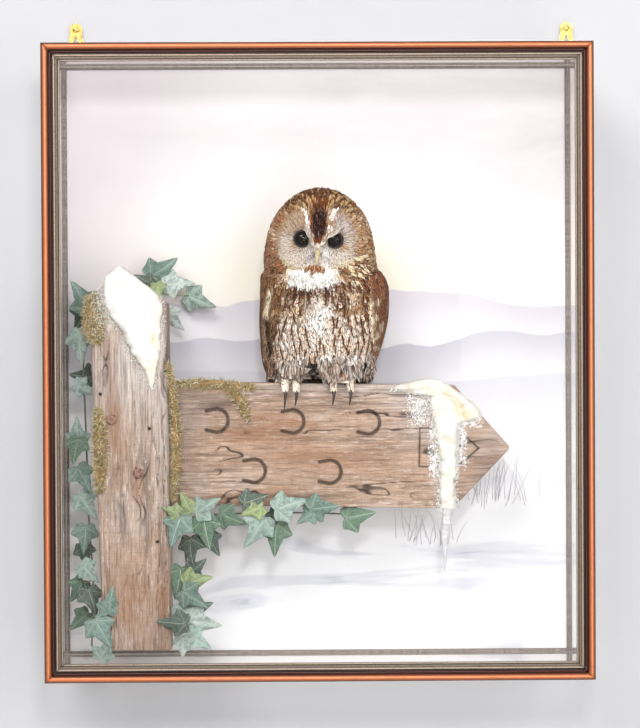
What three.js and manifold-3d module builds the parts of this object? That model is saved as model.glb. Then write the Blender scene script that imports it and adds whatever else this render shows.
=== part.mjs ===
// A mounted tawny owl on the arm of a wooden fingerpost, in a glazed case that hangs on a wall.
// Millimetres, +Z up. The case faces -Y and the wall is behind it.
// The origin is the centre of the backboard's rear face, which lies against the wall.
import * as THREE from "three";
import { LoftGeometry } from "three/addons/geometries/LoftGeometry.js";
import { mergeVertices } from "three/addons/utils/BufferGeometryUtils.js";
import Module from "manifold-3d";

const wasm = await Module();
wasm.setup();

// ---- Driving dimensions ----

const GAP = 0.3; // between pieces that touch

const caseWide = 755; // over the outside of the moulding
const caseHigh = 875;
const caseDeep = 222; // wall to the front of the moulding
const mouldWide = 26; // face of the moulding, outer edge to sight edge
const mouldDeep = 32;
const lip = 11; // how far the moulding stands in over the inside of the case
const glassThick = 4;
const boardThick = 6; // plywood back
const boardInset = 2.5; // its edges stand this far inside the outline of the moulding
const panelThick = 3 - GAP; // painted panel on the plywood
const beadSize = 3.8; // quarter-round strip round the back of the case

const sightX = caseWide / 2 - mouldWide;
const sightZ = caseHigh / 2 - mouldWide;
const insideX = sightX + lip;
const insideZ = sightZ + lip;
const panelFront = -(boardThick + GAP + panelThick);
const glassBack = -caseDeep + 16.3; // rear face of the front pane
const paneThick = 3;

const postFront = -150;
const postBack = -65;
const signFront = -127;
const signBack = -89;
const signTop = -31; // under the bird's feet
const signFall = 1.1 * (Math.PI / 180); // the arm droops a little towards its point

const bird = new THREE.Vector3(4, -108, -33); // top of the perch, midway between the feet
const headCentre = new THREE.Vector3(-1, -10, 183); // from the bird's own origin
const headTurn = -3.5 * (Math.PI / 180);
const headTilt = 2.5 * (Math.PI / 180);

// ---- Making and joining solids ----

function solidOf(geometry) {
  const bare = new THREE.BufferGeometry();
  bare.setAttribute("position", geometry.getAttribute("position"));
  bare.setIndex(geometry.index);
  const merged = mergeVertices(bare, 1e-4);
  return new wasm.Manifold(
    new wasm.Mesh({
      numProp: 3,
      vertProperties: merged.attributes.position.array,
      triVerts: new Uint32Array(merged.index.array),
    }),
  );
}

function geometryOf(solid) {
  const mesh = solid.getMesh();
  const geometry = new THREE.BufferGeometry();
  geometry.setAttribute("position", new THREE.BufferAttribute(mesh.vertProperties, mesh.numProp));
  geometry.setIndex(new THREE.BufferAttribute(mesh.triVerts, 1));
  const flat = geometry.toNonIndexed();
  flat.computeVertexNormals();
  return flat;
}

const joined = (solids) => solids.reduce((all, next) => all.add(next));
const without = (solid, cutters) => cutters.reduce((rest, cutter) => rest.subtract(cutter), solid);

// The largest body left when a cut has split off crumbs.
function mainBody(solid) {
  const bodies = solid.decompose();
  bodies.sort((a, b) => b.volume() - a.volume());
  return bodies[0];
}

function box(x0, x1, y0, y1, z0, z1) {
  const geometry = new THREE.BoxGeometry(x1 - x0, y1 - y0, z1 - z0);
  geometry.translate((x0 + x1) / 2, (y0 + y1) / 2, (z0 + z1) / 2);
  return solidOf(geometry);
}

// A flat outline in X and Z, given depth from y0 (front) to y1 (back).
function slab(outline, y0, y1, bevel = 0, curveSegments = 6) {
  const geometry = new THREE.ExtrudeGeometry(outline, {
    depth: y1 - y0 - 2 * bevel,
    bevelEnabled: bevel > 0,
    bevelThickness: bevel,
    bevelSize: bevel,
    bevelOffset: -bevel,
    bevelSegments: 2,
    curveSegments,
  });
  geometry.rotateX(Math.PI / 2);
  geometry.translate(0, y1 - bevel, 0);
  return solidOf(geometry);
}

const outlineOf = (points) => new THREE.Shape(points.map(([x, z]) => new THREE.Vector2(x, z)));

// A round bar along a smooth path, whose radius goes from start to end.
function taperedBar(points, radiusStart, radiusEnd, rings = 8, sides = 8) {
  const path = new THREE.CatmullRomCurve3(points);
  const frames = path.computeFrenetFrames(rings, false);
  const sections = [];
  for (let i = 0; i <= rings; i++) {
    const along = i / rings;
    const centre = path.getPointAt(along);
    const radius = radiusStart + (radiusEnd - radiusStart) * along;
    const section = [];
    for (let j = 0; j < sides; j++) {
      const angle = (j / sides) * 2 * Math.PI;
      const point = centre.clone();
      point.addScaledVector(frames.normals[i], Math.cos(angle) * radius);
      point.addScaledVector(frames.binormals[i], Math.sin(angle) * radius);
      section.push(point);
    }
    sections.push(section);
  }
  return solidOf(new LoftGeometry(sections, { capStart: true, capEnd: true }));
}

// Smooth value of one named size at a height, from a short table of stations in rising order of z.
function sizeAt(stations, key, z) {
  const last = stations.length - 1;
  let i = 0;
  while (i < last - 1 && z > stations[i + 1].z) i++;
  const before = stations[Math.max(i - 1, 0)];
  const from = stations[i];
  const to = stations[i + 1];
  const after = stations[Math.min(i + 2, last)];
  const span = to.z - from.z;
  const t = THREE.MathUtils.clamp((z - from.z) / span, 0, 1);
  const slopeFrom = (span * (to[key] - before[key])) / (to.z - before.z);
  const slopeTo = (span * (after[key] - from[key])) / (after.z - from.z);
  const t2 = t * t;
  const t3 = t2 * t;
  return (
    (2 * t3 - 3 * t2 + 1) * from[key] +
    (t3 - 2 * t2 + t) * slopeFrom +
    (3 * t2 - 2 * t3) * to[key] +
    (t3 - t2) * slopeTo
  );
}

// ---- The scene graph ----

const part = new THREE.Group();

function finish(colour, roughness, metalness = 0) {
  return new THREE.MeshStandardMaterial({ color: colour, roughness, metalness });
}

function glassFinish() {
  const material = finish(0xeef4f2, 0.05);
  material.transparent = true;
  material.opacity = 0.15;
  return material;
}

function place(name, solid, material) {
  const mesh = new THREE.Mesh(geometryOf(solid), material);
  mesh.name = name;
  part.add(mesh);
}

// ---- The case ----

// Section of the moulding: x is the distance in from its outer edge, y runs forward from its rear.
function mouldingSection() {
  const section = new THREE.Shape();
  const rebate = mouldDeep - 13;
  section.moveTo(0, 0);
  section.lineTo(mouldWide - lip - glassThick - GAP, 0);
  section.lineTo(mouldWide - lip - glassThick - GAP, rebate);
  section.lineTo(mouldWide, rebate);
  section.lineTo(mouldWide, mouldDeep - 5);
  section.quadraticCurveTo(mouldWide - 1.5, mouldDeep - 2, mouldWide - 4, mouldDeep - 3);
  section.quadraticCurveTo(mouldWide - 6, mouldDeep - 1, mouldWide - 8, mouldDeep - 2.6);
  section.lineTo(mouldWide - 9, mouldDeep - 4.6);
  section.lineTo(11.5, mouldDeep - 4);
  section.quadraticCurveTo(10.5, mouldDeep, 6, mouldDeep);
  section.quadraticCurveTo(2, mouldDeep, 1.2, mouldDeep - 4);
  section.lineTo(0, mouldDeep - 5);
  section.closePath();
  return section;
}

// One mitred side: the section run along a side of half length `half`, its outer edge `out` from the middle.
function mitredSide(section, half, out, rear, quarterTurns) {
  const geometry = new THREE.ExtrudeGeometry(section, {
    depth: 2 * half,
    bevelEnabled: false,
    curveSegments: 4,
  });
  // Section x points inward (down), section y forward, the run goes along X.
  const basis = new THREE.Matrix4().makeBasis(
    new THREE.Vector3(0, 0, -1),
    new THREE.Vector3(0, -1, 0),
    new THREE.Vector3(-1, 0, 0),
  );
  geometry.applyMatrix4(basis);
  geometry.translate(half, rear, out);
  // Each end is cut on the line from the corner inwards at 45 degrees.
  const slope = Math.SQRT1_2;
  const reach = (half - out) * slope - GAP / 2;
  const straight = solidOf(geometry)
    .trimByPlane([-slope, 0, slope], -reach)
    .trimByPlane([slope, 0, slope], -reach);
  return straight.rotate([0, quarterTurns * 90, 0]);
}

function addFrame() {
  const section = mouldingSection();
  const copper = finish(0x6a3a22, 0.4, 0.35);
  const rear = -caseDeep + mouldDeep;
  const halfX = caseWide / 2;
  const halfZ = caseHigh / 2;
  place("frame_top", mitredSide(section, halfX, halfZ, rear, 0), copper);
  place("frame_bottom", mitredSide(section, halfX, halfZ, rear, 2), copper);
  place("frame_right", mitredSide(section, halfZ, halfX, rear, 1), copper);
  place("frame_left", mitredSide(section, halfZ, halfX, rear, -1), copper);
}

function addBead() {
  const section = new THREE.Shape();
  section.moveTo(0, 0);
  section.lineTo(beadSize, 0);
  section.quadraticCurveTo(beadSize, beadSize, 0, beadSize);
  section.closePath();
  const grey = finish(0x6e6860, 0.5);
  const rear = panelFront - GAP;
  const halfX = insideX - GAP;
  const halfZ = insideZ - GAP;
  place("bead_top", mitredSide(section, halfX, halfZ, rear, 0), grey);
  place("bead_bottom", mitredSide(section, halfX, halfZ, rear, 2), grey);
  place("bead_right", mitredSide(section, halfZ, halfX, rear, 1), grey);
  place("bead_left", mitredSide(section, halfZ, halfX, rear, -1), grey);
}

// A brass hanger is a round head with an eye, on a neck that spreads to a plate behind the board.
const hangerPlaces = { left: -345, right: 362 };
const hangerZ = 477;
const hangerThick = 2;
const hangerHead = 9;
const hangerNeck = 461; // where the neck spreads
const hangerFoot = 400;
const hangerWide = 12.5; // half width of the plate

function hangerOutline(x, grow) {
  const outline = new THREE.Shape();
  const plate = hangerWide + grow;
  outline.moveTo(x - plate, hangerFoot - grow);
  outline.lineTo(x + plate, hangerFoot - grow);
  outline.lineTo(x + plate, hangerNeck - 5);
  outline.quadraticCurveTo(x + hangerHead - 1, hangerNeck, x + hangerHead + grow, hangerZ);
  outline.absarc(x, hangerZ, hangerHead + grow, 0, Math.PI, false);
  outline.quadraticCurveTo(x - hangerHead + 1, hangerNeck, x - plate, hangerNeck - 5);
  outline.closePath();
  return outline;
}

function hangerSolid(x) {
  const outline = hangerOutline(x, 0);
  const window = new THREE.Path();
  window.moveTo(x - 5, hangerNeck - 6);
  window.lineTo(x, hangerZ - 7);
  window.lineTo(x + 5, hangerNeck - 6);
  window.closePath();
  const eye = new THREE.Path();
  eye.absarc(x, hangerZ, 2.6, 0, 2 * Math.PI, true);
  outline.holes.push(window, eye);
  return slab(outline, -hangerThick, 0, 0, 5);
}

function hangerScrew(x) {
  const profile = [
    [0, 0],
    [2.2, 0],
    [2.2, hangerThick + GAP],
    [4.6, hangerThick + GAP],
    [4, hangerThick + 1.8],
    [2, hangerThick + 2.6],
    [0, hangerThick + 2.8],
  ];
  const points = profile.map(([radius, out]) => new THREE.Vector2(radius, out));
  const geometry = new THREE.LatheGeometry(points, 10);
  geometry.rotateX(Math.PI);
  geometry.translate(x, 0, hangerZ);
  return solidOf(geometry);
}

function addBack() {
  const edgeX = caseWide / 2 - boardInset;
  const edgeZ = caseHigh / 2 - boardInset;
  const slots = Object.values(hangerPlaces).map((x) => {
    return slab(hangerOutline(x, GAP), -hangerThick - GAP, 1, 0, 5);
  });
  const board = without(box(-edgeX, edgeX, -boardThick, 0, -edgeZ, edgeZ), slots);
  place("back_board", board, finish(0x9a7a55, 0.8));
  const panel = box(
    -insideX + GAP,
    insideX - GAP,
    panelFront,
    -boardThick - GAP,
    -insideZ + GAP,
    insideZ - GAP,
  );
  place("backdrop_panel", panel, finish(0xd6d0d8, 0.7));
  const brass = finish(0xa07a3c, 0.35, 0.9);
  for (const [side, x] of Object.entries(hangerPlaces)) {
    place("hanger_" + side, hangerSolid(x), brass);
    place("hanger_screw_" + side, hangerScrew(x), brass);
  }
}

function addGlass() {
  const glass = glassFinish();
  const edgeX = insideX + glassThick;
  const edgeZ = insideZ + glassThick;
  const back = -boardThick - GAP;
  const front = glassBack + GAP;
  place("front_glass", box(-edgeX, edgeX, glassBack - paneThick, glassBack, -edgeZ, edgeZ), glass);
  place("pane_left", box(-edgeX, -insideX, front, back, -insideZ, insideZ), glass);
  place("pane_right", box(insideX, edgeX, front, back, -insideZ, insideZ), glass);
  place("pane_top", box(-edgeX, edgeX, front, back, insideZ + GAP, edgeZ), glass);
  place("pane_bottom", box(-edgeX, edgeX, front, back, -edgeZ, -insideZ - GAP), glass);
}

// ---- The fingerpost ----

const postFoot = -401;
const postShoulderLeft = 89;
const postShoulderRight = 81;
const postPeak = [-277, 124];

function postOutline(grow) {
  return outlineOf([
    [-302 - grow, postFoot - grow],
    [-206.5 + grow, postFoot - grow],
    [-209 + grow, postShoulderRight + grow],
    [postPeak[0], postPeak[1] + 1.5 * grow],
    [-320 - grow, postShoulderLeft + grow],
  ]);
}

// The arm: a board with a pointed end, let into the post at the other.
const signRoot = -226;
const signShoulder = 191;
const signPoint = 271;
const signHigh = 173;

function signOutline(grow) {
  return outlineOf([
    [signRoot - grow, -signHigh - grow],
    [signShoulder - 4, -signHigh - grow],
    [signPoint + 1.6 * grow, -signHigh / 2],
    [signShoulder, grow],
    [signRoot - grow, grow],
  ]);
}

// Outlines on the arm are drawn level and then fall with it, about the place under the bird.
const onSign = (solid) => solid.rotate([0, (signFall * 180) / Math.PI, 0]).translate([0, 0, signTop]);

const signBody = (grow) => onSign(slab(signOutline(grow), signFront - grow, signBack + grow, 2));
const postBody = (grow) => slab(postOutline(grow), postFront - grow, postBack + grow, 5);

const grooveDeep = 2.5;
const grooveWide = 2.2;

// An outlined arrow cut into the face of the arm near its point.
function arrowGroove() {
  const left = 142;
  const corner = 195;
  const tip = 227;
  const top = -60;
  const bottom = -116;
  const middle = (top + bottom) / 2;
  const outer = outlineOf([
    [left, bottom],
    [corner, bottom],
    [tip, middle],
    [corner, top],
    [left, top],
  ]);
  const inner = new THREE.Path(
    outlineOf([
      [left + grooveWide, bottom + grooveWide],
      [corner - 0.7, bottom + grooveWide],
      [tip - 1.4 * grooveWide, middle],
      [corner - 0.7, top - grooveWide],
      [left + grooveWide, top - grooveWide],
    ]).getPoints(),
  );
  outer.holes.push(inner);
  return slab(outer, signFront - 1, signFront + grooveDeep);
}

// One hoof print: a broad open arch, its toe towards the point of the arm.
const hoofOuter = 19;
const hoofWide = 5;

function hoofGroove(x, z) {
  const outline = new THREE.Shape();
  const inner = hoofOuter - hoofWide;
  const heel = 14;
  outline.moveTo(x - heel, z - hoofOuter + 3);
  outline.absarc(x, z, hoofOuter, -Math.PI / 2 + 0.12, Math.PI / 2 - 0.12, false);
  outline.lineTo(x - heel, z + hoofOuter - 3);
  outline.lineTo(x - heel, z + inner - 3);
  outline.absarc(x, z, inner, Math.PI / 2 - 0.12, -Math.PI / 2 + 0.12, true);
  outline.lineTo(x - heel, z - inner + 3);
  outline.closePath();
  return slab(outline, signFront - 1, signFront + grooveDeep, 0, 6);
}

const hoofPrints = 5;
const hoofStart = -142;
const hoofStride = 53;
const hoofRows = [-54, -124];

function signGrooves() {
  const grooves = [arrowGroove()];
  for (let i = 0; i < hoofPrints; i++) {
    grooves.push(hoofGroove(hoofStart + i * hoofStride, hoofRows[i % 2]));
  }
  return grooves.map(onSign);
}

const boltPlaces = [
  { name: "bolt_upper", x: -288, z: -79 },
  { name: "bolt_lower", x: -251, z: -154 },
];

// A round-headed bolt through the face of the post.
function boltSolid({ x, z }, grow) {
  const head = 7.2 + grow;
  const shank = 4 + grow;
  const profile = [
    [0, -40 - grow],
    [shank, -40 - grow],
    [shank, GAP - 2 * grow],
    [head, GAP - 2 * grow],
    [head, 1.6 + grow],
    [head - 1.4, 2.8 + grow],
    [0, 3.2 + grow],
  ];
  const points = profile.map(([radius, out]) => new THREE.Vector2(radius, out));
  const geometry = new THREE.LatheGeometry(points, 12);
  geometry.rotateX(Math.PI);
  geometry.translate(x, postFront, z);
  return solidOf(geometry);
}

// A block behind the post carries it off the back of the case.
const block = { x0: -296, x1: -236, z0: -380, z1: 40 };

function addFingerpost() {
  const wood = finish(0xa98a72, 0.85);
  const bolts = boltPlaces.map((bolt) => boltSolid(bolt, GAP));
  const post = without(postBody(0), [signBody(GAP), ...bolts]);
  place("post", post, wood);
  place("sign_board", without(signBody(0), signGrooves()), finish(0x94735c, 0.8));
  const brown = finish(0x86675a, 0.6);
  boltPlaces.forEach((bolt) => place(bolt.name, boltSolid(bolt, 0), brown));
  const blockBody = box(
    block.x0,
    block.x1,
    postBack + GAP,
    panelFront - GAP,
    block.z0,
    block.z1,
  );
  place("post_block", blockBody, wood);
}

// ---- Snow, ice and moss ----

const snowDeep = 9; // how far the snow stands out from the face under it

function snowOnPost(grow) {
  const outline = outlineOf([
    [-277, 134 + grow],
    [-296 - grow, 119 + grow],
    [-300 - grow, 96],
    [-291 - grow, 66 - grow],
    [-270 - grow, 40 - grow],
    [-259 - grow, 12 - grow],
    [-243 - grow, -10 - grow],
    [-231, -38 - grow],
    [-226 + grow, -12],
    [-219 + grow, 22],
    [-218 + grow, 58],
    [-211 + grow, 84],
    [-214 + grow, 92 + grow],
    [-230 + grow, 103 + grow],
    [-252 + grow, 118 + grow],
  ]);
  return slab(outline, postFront - snowDeep - grow, postBack - 1 + grow, 4);
}

function snowOnSign() {
  const outline = outlineOf([
    [112, -36],
    [142, -26],
    [171, -26],
    [187, -34],
    [207, -49],
    [223, -67],
    [228, -79],
    [212, -84],
    [198, -90],
    [193, -110],
    [191, -155],
    [190, -200],
    [187, -212],
    [171, -212],
    [169, -198],
    [166, -143],
    [160, -90],
    [154, -52],
    [128, -44],
  ]);
  return slab(outline, signFront - snowDeep, signBack - 1, 3);
}

const icicleTop = -213;
const icicleTip = -295;

function icicleSolid() {
  const drift = [
    new THREE.Vector3(178.5, signFront - 3.5, icicleTop),
    new THREE.Vector3(177, signFront - 3, -250),
    new THREE.Vector3(175, signFront - 3, icicleTip),
  ];
  return taperedBar(drift, 6.2, 0.8, 5, 7);
}

// A cushion of moss along a path, lumpy in width, wide across the path and thick towards the front.
function mossAlong(points, wide, thick, lumps) {
  const path = new THREE.CatmullRomCurve3(points);
  const rings = 9;
  const sides = 7;
  const sections = [];
  for (let i = 0; i <= rings; i++) {
    const along = i / rings;
    const centre = path.getPointAt(along);
    const tangent = path.getTangentAt(along);
    const front = new THREE.Vector3(0, -1, 0);
    const across = new THREE.Vector3().crossVectors(front, tangent).normalize();
    const ends = Math.pow(Math.sin(Math.PI * (0.04 + 0.92 * along)), 0.5);
    const lump = 1 + 0.22 * Math.sin(lumps * along * 2 * Math.PI) + 0.1 * Math.sin(17 * along);
    const section = [];
    for (let j = 0; j < sides; j++) {
      const angle = (j / sides) * 2 * Math.PI;
      const point = centre.clone();
      point.addScaledVector(across, Math.cos(angle) * wide * ends * lump);
      point.addScaledVector(front, Math.sin(angle) * thick * ends);
      section.push(point);
    }
    sections.push(section);
  }
  return solidOf(new LoftGeometry(sections, { capStart: true, capEnd: true }));
}

const mossPlaces = [
  {
    name: "moss_post_upper",
    wide: 17,
    thick: 8,
    lumps: 1.5,
    paths: [
      [
        [-313, postFront, 96],
        [-312, postFront, 60],
        [-309, postFront, 26],
      ],
    ],
  },
  {
    name: "moss_post_lower",
    wide: 10,
    thick: 8,
    lumps: 2.5,
    paths: [
      [
        [-307, postFront, -62],
        [-304, postFront, -120],
        [-306, postFront, -182],
      ],
    ],
  },
  {
    name: "moss_joint",
    wide: 8,
    thick: 8,
    lumps: 4.5,
    paths: [
      [
        [-209, postFront, 0],
        [-202, signFront - 6, -70],
        [-201, signFront - 6, -140],
        [-205, signFront - 6, -196],
      ],
    ],
  },
  {
    name: "moss_sign",
    wide: 7,
    thick: 8,
    lumps: 2,
    paths: [
      [
        [-198, signFront, -30],
        [-150, signFront + 2, -31],
        [-88, signFront, -36],
      ],
      [
        [-128, signFront, -34],
        [-110, signFront - 1, -54],
        [-98, signFront, -82],
      ],
    ],
  },
];

const toVectors = (points) => points.map(([x, y, z]) => new THREE.Vector3(x, y, z));

// ---- Ivy ----

const leafThick = 0.8;
const stemRadius = 1.5;
const stemTip = 1.1; // radius at the growing end
const petioleRadius = 0.9;

// Half the outline of a five-lobed leaf, from the stalk to the tip, for a leaf of length one.
const leafHalf = [
  [-0.1, 0.26],
  [0.28, 0.5],
  [0.42, 0.26],
];

function leafOutline(length, grow) {
  const right = leafHalf.map(([along, side]) => [side * length + grow, along * length]);
  const left = leafHalf.map(([along, side]) => [-side * length - grow, along * length]).reverse();
  return outlineOf([[0, 0], ...right, [0, length + grow], ...left]);
}

// One leaf plate. `aim` is the way its tip points in the plane of the case, anticlockwise from +X, and
// `lean` brings its tip forward. The plate turns about its middle.
function leafSolid({ x, y, z, length, aim, lean, roll }, grow) {
  const plate = slab(leafOutline(length, grow), -leafThick / 2 - grow, leafThick / 2 + grow);
  return plate
    .translate([0, 0, -length * 0.4])
    .rotate([0, 0, roll])
    .rotate([lean, 0, 0])
    .rotate([0, 90 - aim, 0])
    .translate([x, y, z]);
}

function leafStalkEnd({ x, y, z, length, aim, lean }) {
  const down = new THREE.Vector3(0, 0, -length * 0.33);
  down.applyAxisAngle(new THREE.Vector3(1, 0, 0), (lean * Math.PI) / 180);
  down.applyAxisAngle(new THREE.Vector3(0, 1, 0), ((90 - aim) * Math.PI) / 180);
  return down.add(new THREE.Vector3(x, y, z));
}

// A leaf written as [x, y, z, length, aim, lean, roll].
const leafOf = ([x, y, z, length, aim, lean, roll]) => ({ x, y, z, length, aim, lean, roll });

const ivyStrands = [
  {
    name: "ivy_behind",
    stem: [
      [-232, -54, 60],
      [-228, -50, 92],
      [-226, -46, 116],
    ],
    leaves: [
      [-222, -40, 131, 44, 32, 14, 10],
      [-200, -44, 111, 40, 5, 10, -14],
      [-170, -36, 86, 42, -28, 12, 18],
      [-206, -52, 59, 34, -50, 18, 20],
      [-247, -44, 116, 26, 150, 10, 10],
      [-226, -57, 101, 24, -75, 16, 0],
    ],
  },
  {
    name: "ivy_left",
    stem: [
      [-326, -96, 84],
      [-330, -100, 0],
      [-327, -96, -110],
      [-324, -98, -220],
      [-318, -110, -300],
      [-318, -128, -362],
      [-318, -138, -396],
    ],
    leaves: [
      [-331, -112, 92, 42, 118, 14, 20],
      [-334, -84, 62, 36, -110, 8, -20],
      [-334, -116, 24, 48, -92, 12, 24],
      [-331, -84, -20, 36, 175, 8, -12],
      [-328, -112, -38, 32, -30, 14, 25],
      [-339, -110, -98, 38, 95, 12, -18],
      [-340, -120, -122, 36, -105, 16, 16],
      [-330, -118, -162, 40, -60, 14, -18],
      [-326, -110, -201, 42, -58, 12, 14],
      [-328, -118, -246, 40, -92, 15, -12],
      [-330, -96, -272, 32, -80, 8, 10],
      [-323, -122, -294, 34, -50, 14, 16],
      [-340, -104, -321, 34, -120, 10, -14],
      [-318, -134, -332, 40, -70, 14, -22],
      [-291, -158, -332, 36, 80, 6, 30],
      [-336, -116, -362, 34, -140, 10, 18],
      [-302, -162, -373, 46, -58, 12, -10],
      [-298, -156, -399, 34, 60, 16, 12],
    ],
  },
  {
    name: "ivy_sign",
    stem: [
      [-196, -134, -222],
      [-160, -112, -216],
      [-110, -108, -214],
      [-60, -108, -213],
      [0, -108, -214],
      [44, -108, -216],
    ],
    leaves: [
      [-199, -158, -232, 46, -112, 10, 14],
      [-184, -134, -199, 32, 118, 12, 10],
      [-205, -157, -206, 24, 160, 10, 0],
      [-158, -136, -202, 38, 35, 14, -16],
      [-158, -136, -237, 44, -80, 10, 16],
      [-150, -112, -256, 34, -60, 8, 0],
      [-123, -132, -219, 38, -25, 12, 16],
      [-91, -136, -193, 38, 20, 8, -10],
      [-92, -140, -207, 32, -160, 10, 12],
      [-87, -138, -236, 46, -122, 12, -12],
      [-61, -128, -247, 44, -95, 10, 20],
      [-58, -112, -222, 32, -40, 8, 0],
      [-42, -142, -200, 44, 20, 10, -16],
      [-17, -136, -217, 30, -150, 12, 16],
      [5, -140, -204, 42, 8, 12, 20],
      [55, -124, -217, 44, 12, 10, -12],
    ],
  },
  {
    name: "ivy_right",
    stem: [
      [-190, -112, -246],
      [-186, -108, -290],
      [-184, -112, -330],
      [-182, -120, -368],
      [-186, -124, -394],
    ],
    leaves: [
      [-180, -122, -264, 40, -88, 10, 24],
      [-172, -118, -289, 32, 40, 14, 10],
      [-197, -122, -308, 44, -100, 8, -18],
      [-172, -130, -306, 38, 15, 12, -10],
      [-176, -134, -330, 44, -35, 12, 14],
      [-198, -128, -350, 40, 172, 14, 16],
      [-203, -158, -362, 42, 176, 8, -18],
      [-164, -128, -365, 48, -12, 12, 12],
      [-171, -134, -389, 40, -30, 16, -14],
      [-191, -134, -396, 32, -92, 14, 10],
      [-166, -104, -346, 30, 20, 6, 0],
    ],
  },
];

function ivySolid({ stem, leaves }, grow) {
  const path = new THREE.CatmullRomCurve3(toVectors(stem));
  const stemPoints = path.getSpacedPoints(60);
  const pieces = [taperedBar(path.getSpacedPoints(10), stemRadius + grow, stemTip + grow, 8, 4)];
  for (const row of leaves) {
    const leaf = leafOf(row);
    const end = leafStalkEnd(leaf);
    const near = stemPoints.reduce((best, point) => {
      return point.distanceTo(end) < best.distanceTo(end) ? point : best;
    });
    pieces.push(taperedBar([near, end], petioleRadius + grow, petioleRadius + grow, 1, 3));
    pieces.push(leafSolid(leaf, grow));
  }
  return joined(pieces);
}

function addGrowth() {
  const woodwork = [postBody(GAP), signBody(GAP), ...boltPlaces.map((bolt) => boltSolid(bolt, GAP))];
  const panel = box(-insideX, insideX, panelFront - GAP, 0, -insideZ, insideZ);
  const green = finish(0x5f7d6c, 0.6);
  const ivyCutters = [];
  for (const strand of ivyStrands) {
    const body = without(ivySolid(strand, 0), [...woodwork, panel, ...ivyCutters]);
    place(strand.name, mainBody(body), green);
    ivyCutters.push(ivySolid(strand, GAP));
  }
  const snow = finish(0xf4f0e6, 0.7);
  place("snow_post", mainBody(without(snowOnPost(0), [...woodwork, ...ivyCutters])), snow);
  place("snow_sign", mainBody(without(snowOnSign(), [...woodwork, ...ivyCutters])), snow);
  place("icicle", icicleSolid(), finish(0xf1ead6, 0.15));
  const moss = finish(0x8f8136, 0.95);
  for (const { name, wide, thick, lumps, paths } of mossPlaces) {
    const whole = joined(paths.map((path) => mossAlong(toVectors(path), wide, thick, lumps)));
    const body = without(whole, [...woodwork, ...ivyCutters, snowOnPost(GAP)]);
    place(name, mainBody(body), moss);
  }
}

// ---- The bird ----

// The trunk by height over the perch: centre line, half width, and reach to the front and the back.
const trunkStations = [
  { z: 17, cx: -3, wide: 40, front: 28, back: 44 },
  { z: 24, cx: -3, wide: 61, front: 44, back: 52 },
  { z: 40, cx: -1, wide: 75, front: 61, back: 57 },
  { z: 65, cx: 2, wide: 82, front: 72, back: 63 },
  { z: 92, cx: 4.5, wide: 85, front: 77, back: 66 },
  { z: 117, cx: 5.5, wide: 85.5, front: 78, back: 66 },
  { z: 140, cx: 5, wide: 84, front: 76, back: 64 },
  { z: 158, cx: 1.5, wide: 79, front: 73, back: 61 },
  { z: 185, cx: -1, wide: 73, front: 66, back: 56 },
];

function ring(cx, cy, z, wide, front, back, sides) {
  const section = [];
  for (let j = 0; j < sides; j++) {
    const angle = (j / sides) * 2 * Math.PI;
    const side = Math.cos(angle);
    const rear = Math.sin(angle);
    section.push(new THREE.Vector3(cx + wide * side, cy + (rear > 0 ? back : front) * rear, z));
  }
  return section;
}

// The end rings of a cutter lie a little beyond those of the piece that it makes room for.
const endShift = (i, rings, grow) => (i === 0 ? -grow : 0) + (i === rings ? grow : 0);

function trunkBody() {
  const rings = 9;
  const first = trunkStations[0].z;
  const last = trunkStations[trunkStations.length - 1].z;
  const sections = [];
  for (let i = 0; i <= rings; i++) {
    const z = first + ((last - first) * i) / rings;
    const at = (key) => sizeAt(trunkStations, key, z);
    sections.push(ring(at("cx"), 0, z, at("wide"), at("front"), at("back"), 18));
  }
  return solidOf(new LoftGeometry(sections, { capStart: true, capEnd: true }));
}

// The head is a ball stretched to these reaches, with a flattened face.
const headWide = 76;
const headUp = 92;
const headDown = 76;
const headFront = 62;
const headBack = 62;
const faceFlatness = 0.65;
const discWide = 55;
const discHigh = 43;
const discRise = 17; // centre of the face over the middle of the head
const eyeSpread = 22;
const eyeRise = 19;

// How far the face stands forward of the plain ball at x and z: hollows round the eyes, a ridge between
// them and a raised rim where the face ends.
function faceRelief(x, z) {
  const hollow = (side) => {
    return Math.exp(-((x - side * eyeSpread * 1.15) ** 2 + (z - eyeRise) ** 2) / 20 ** 2);
  };
  const ridge = Math.exp(-((x / 8) ** 2)) * Math.exp(-(((z - 12) / 26) ** 2));
  const radius = Math.hypot(x / discWide, (z - discRise) / discHigh);
  const rim = Math.exp(-(((radius - 1) / 0.14) ** 2));
  return 3 * ridge + 2.5 * rim - 5 * (hollow(1) + hollow(-1));
}

// From the head's own upright frame to the case.
const onHead = (solid) =>
  solid
    .rotate([0, (headTilt * 180) / Math.PI, (headTurn * 180) / Math.PI])
    .translate(headCentre.clone().add(bird).toArray());

function headBall() {
  const geometry = new THREE.SphereGeometry(1, 24, 14);
  geometry.rotateX(Math.PI / 2);
  const spots = geometry.attributes.position;
  for (let i = 0; i < spots.count; i++) {
    const x = spots.getX(i) * headWide;
    const z = spots.getZ(i) * (spots.getZ(i) > 0 ? headUp : headDown);
    const facing = -spots.getY(i);
    let y = -facing * headBack;
    if (facing > 0) {
      y = -headFront * Math.pow(facing, faceFlatness) - faceRelief(x, z) * Math.min(1, 2.5 * facing);
    }
    spots.setXYZ(i, x, y, z);
  }
  return onHead(solidOf(geometry));
}

const eyeRadius = 12;
const eyeDepth = 47; // centre of the eye in front of the middle of the head

function eyeSolid(side, grow) {
  const geometry = new THREE.SphereGeometry(eyeRadius + grow, 12, 8);
  geometry.rotateX(Math.PI / 2);
  geometry.translate(side * eyeSpread, -eyeDepth, eyeRise);
  return onHead(solidOf(geometry));
}

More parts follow.
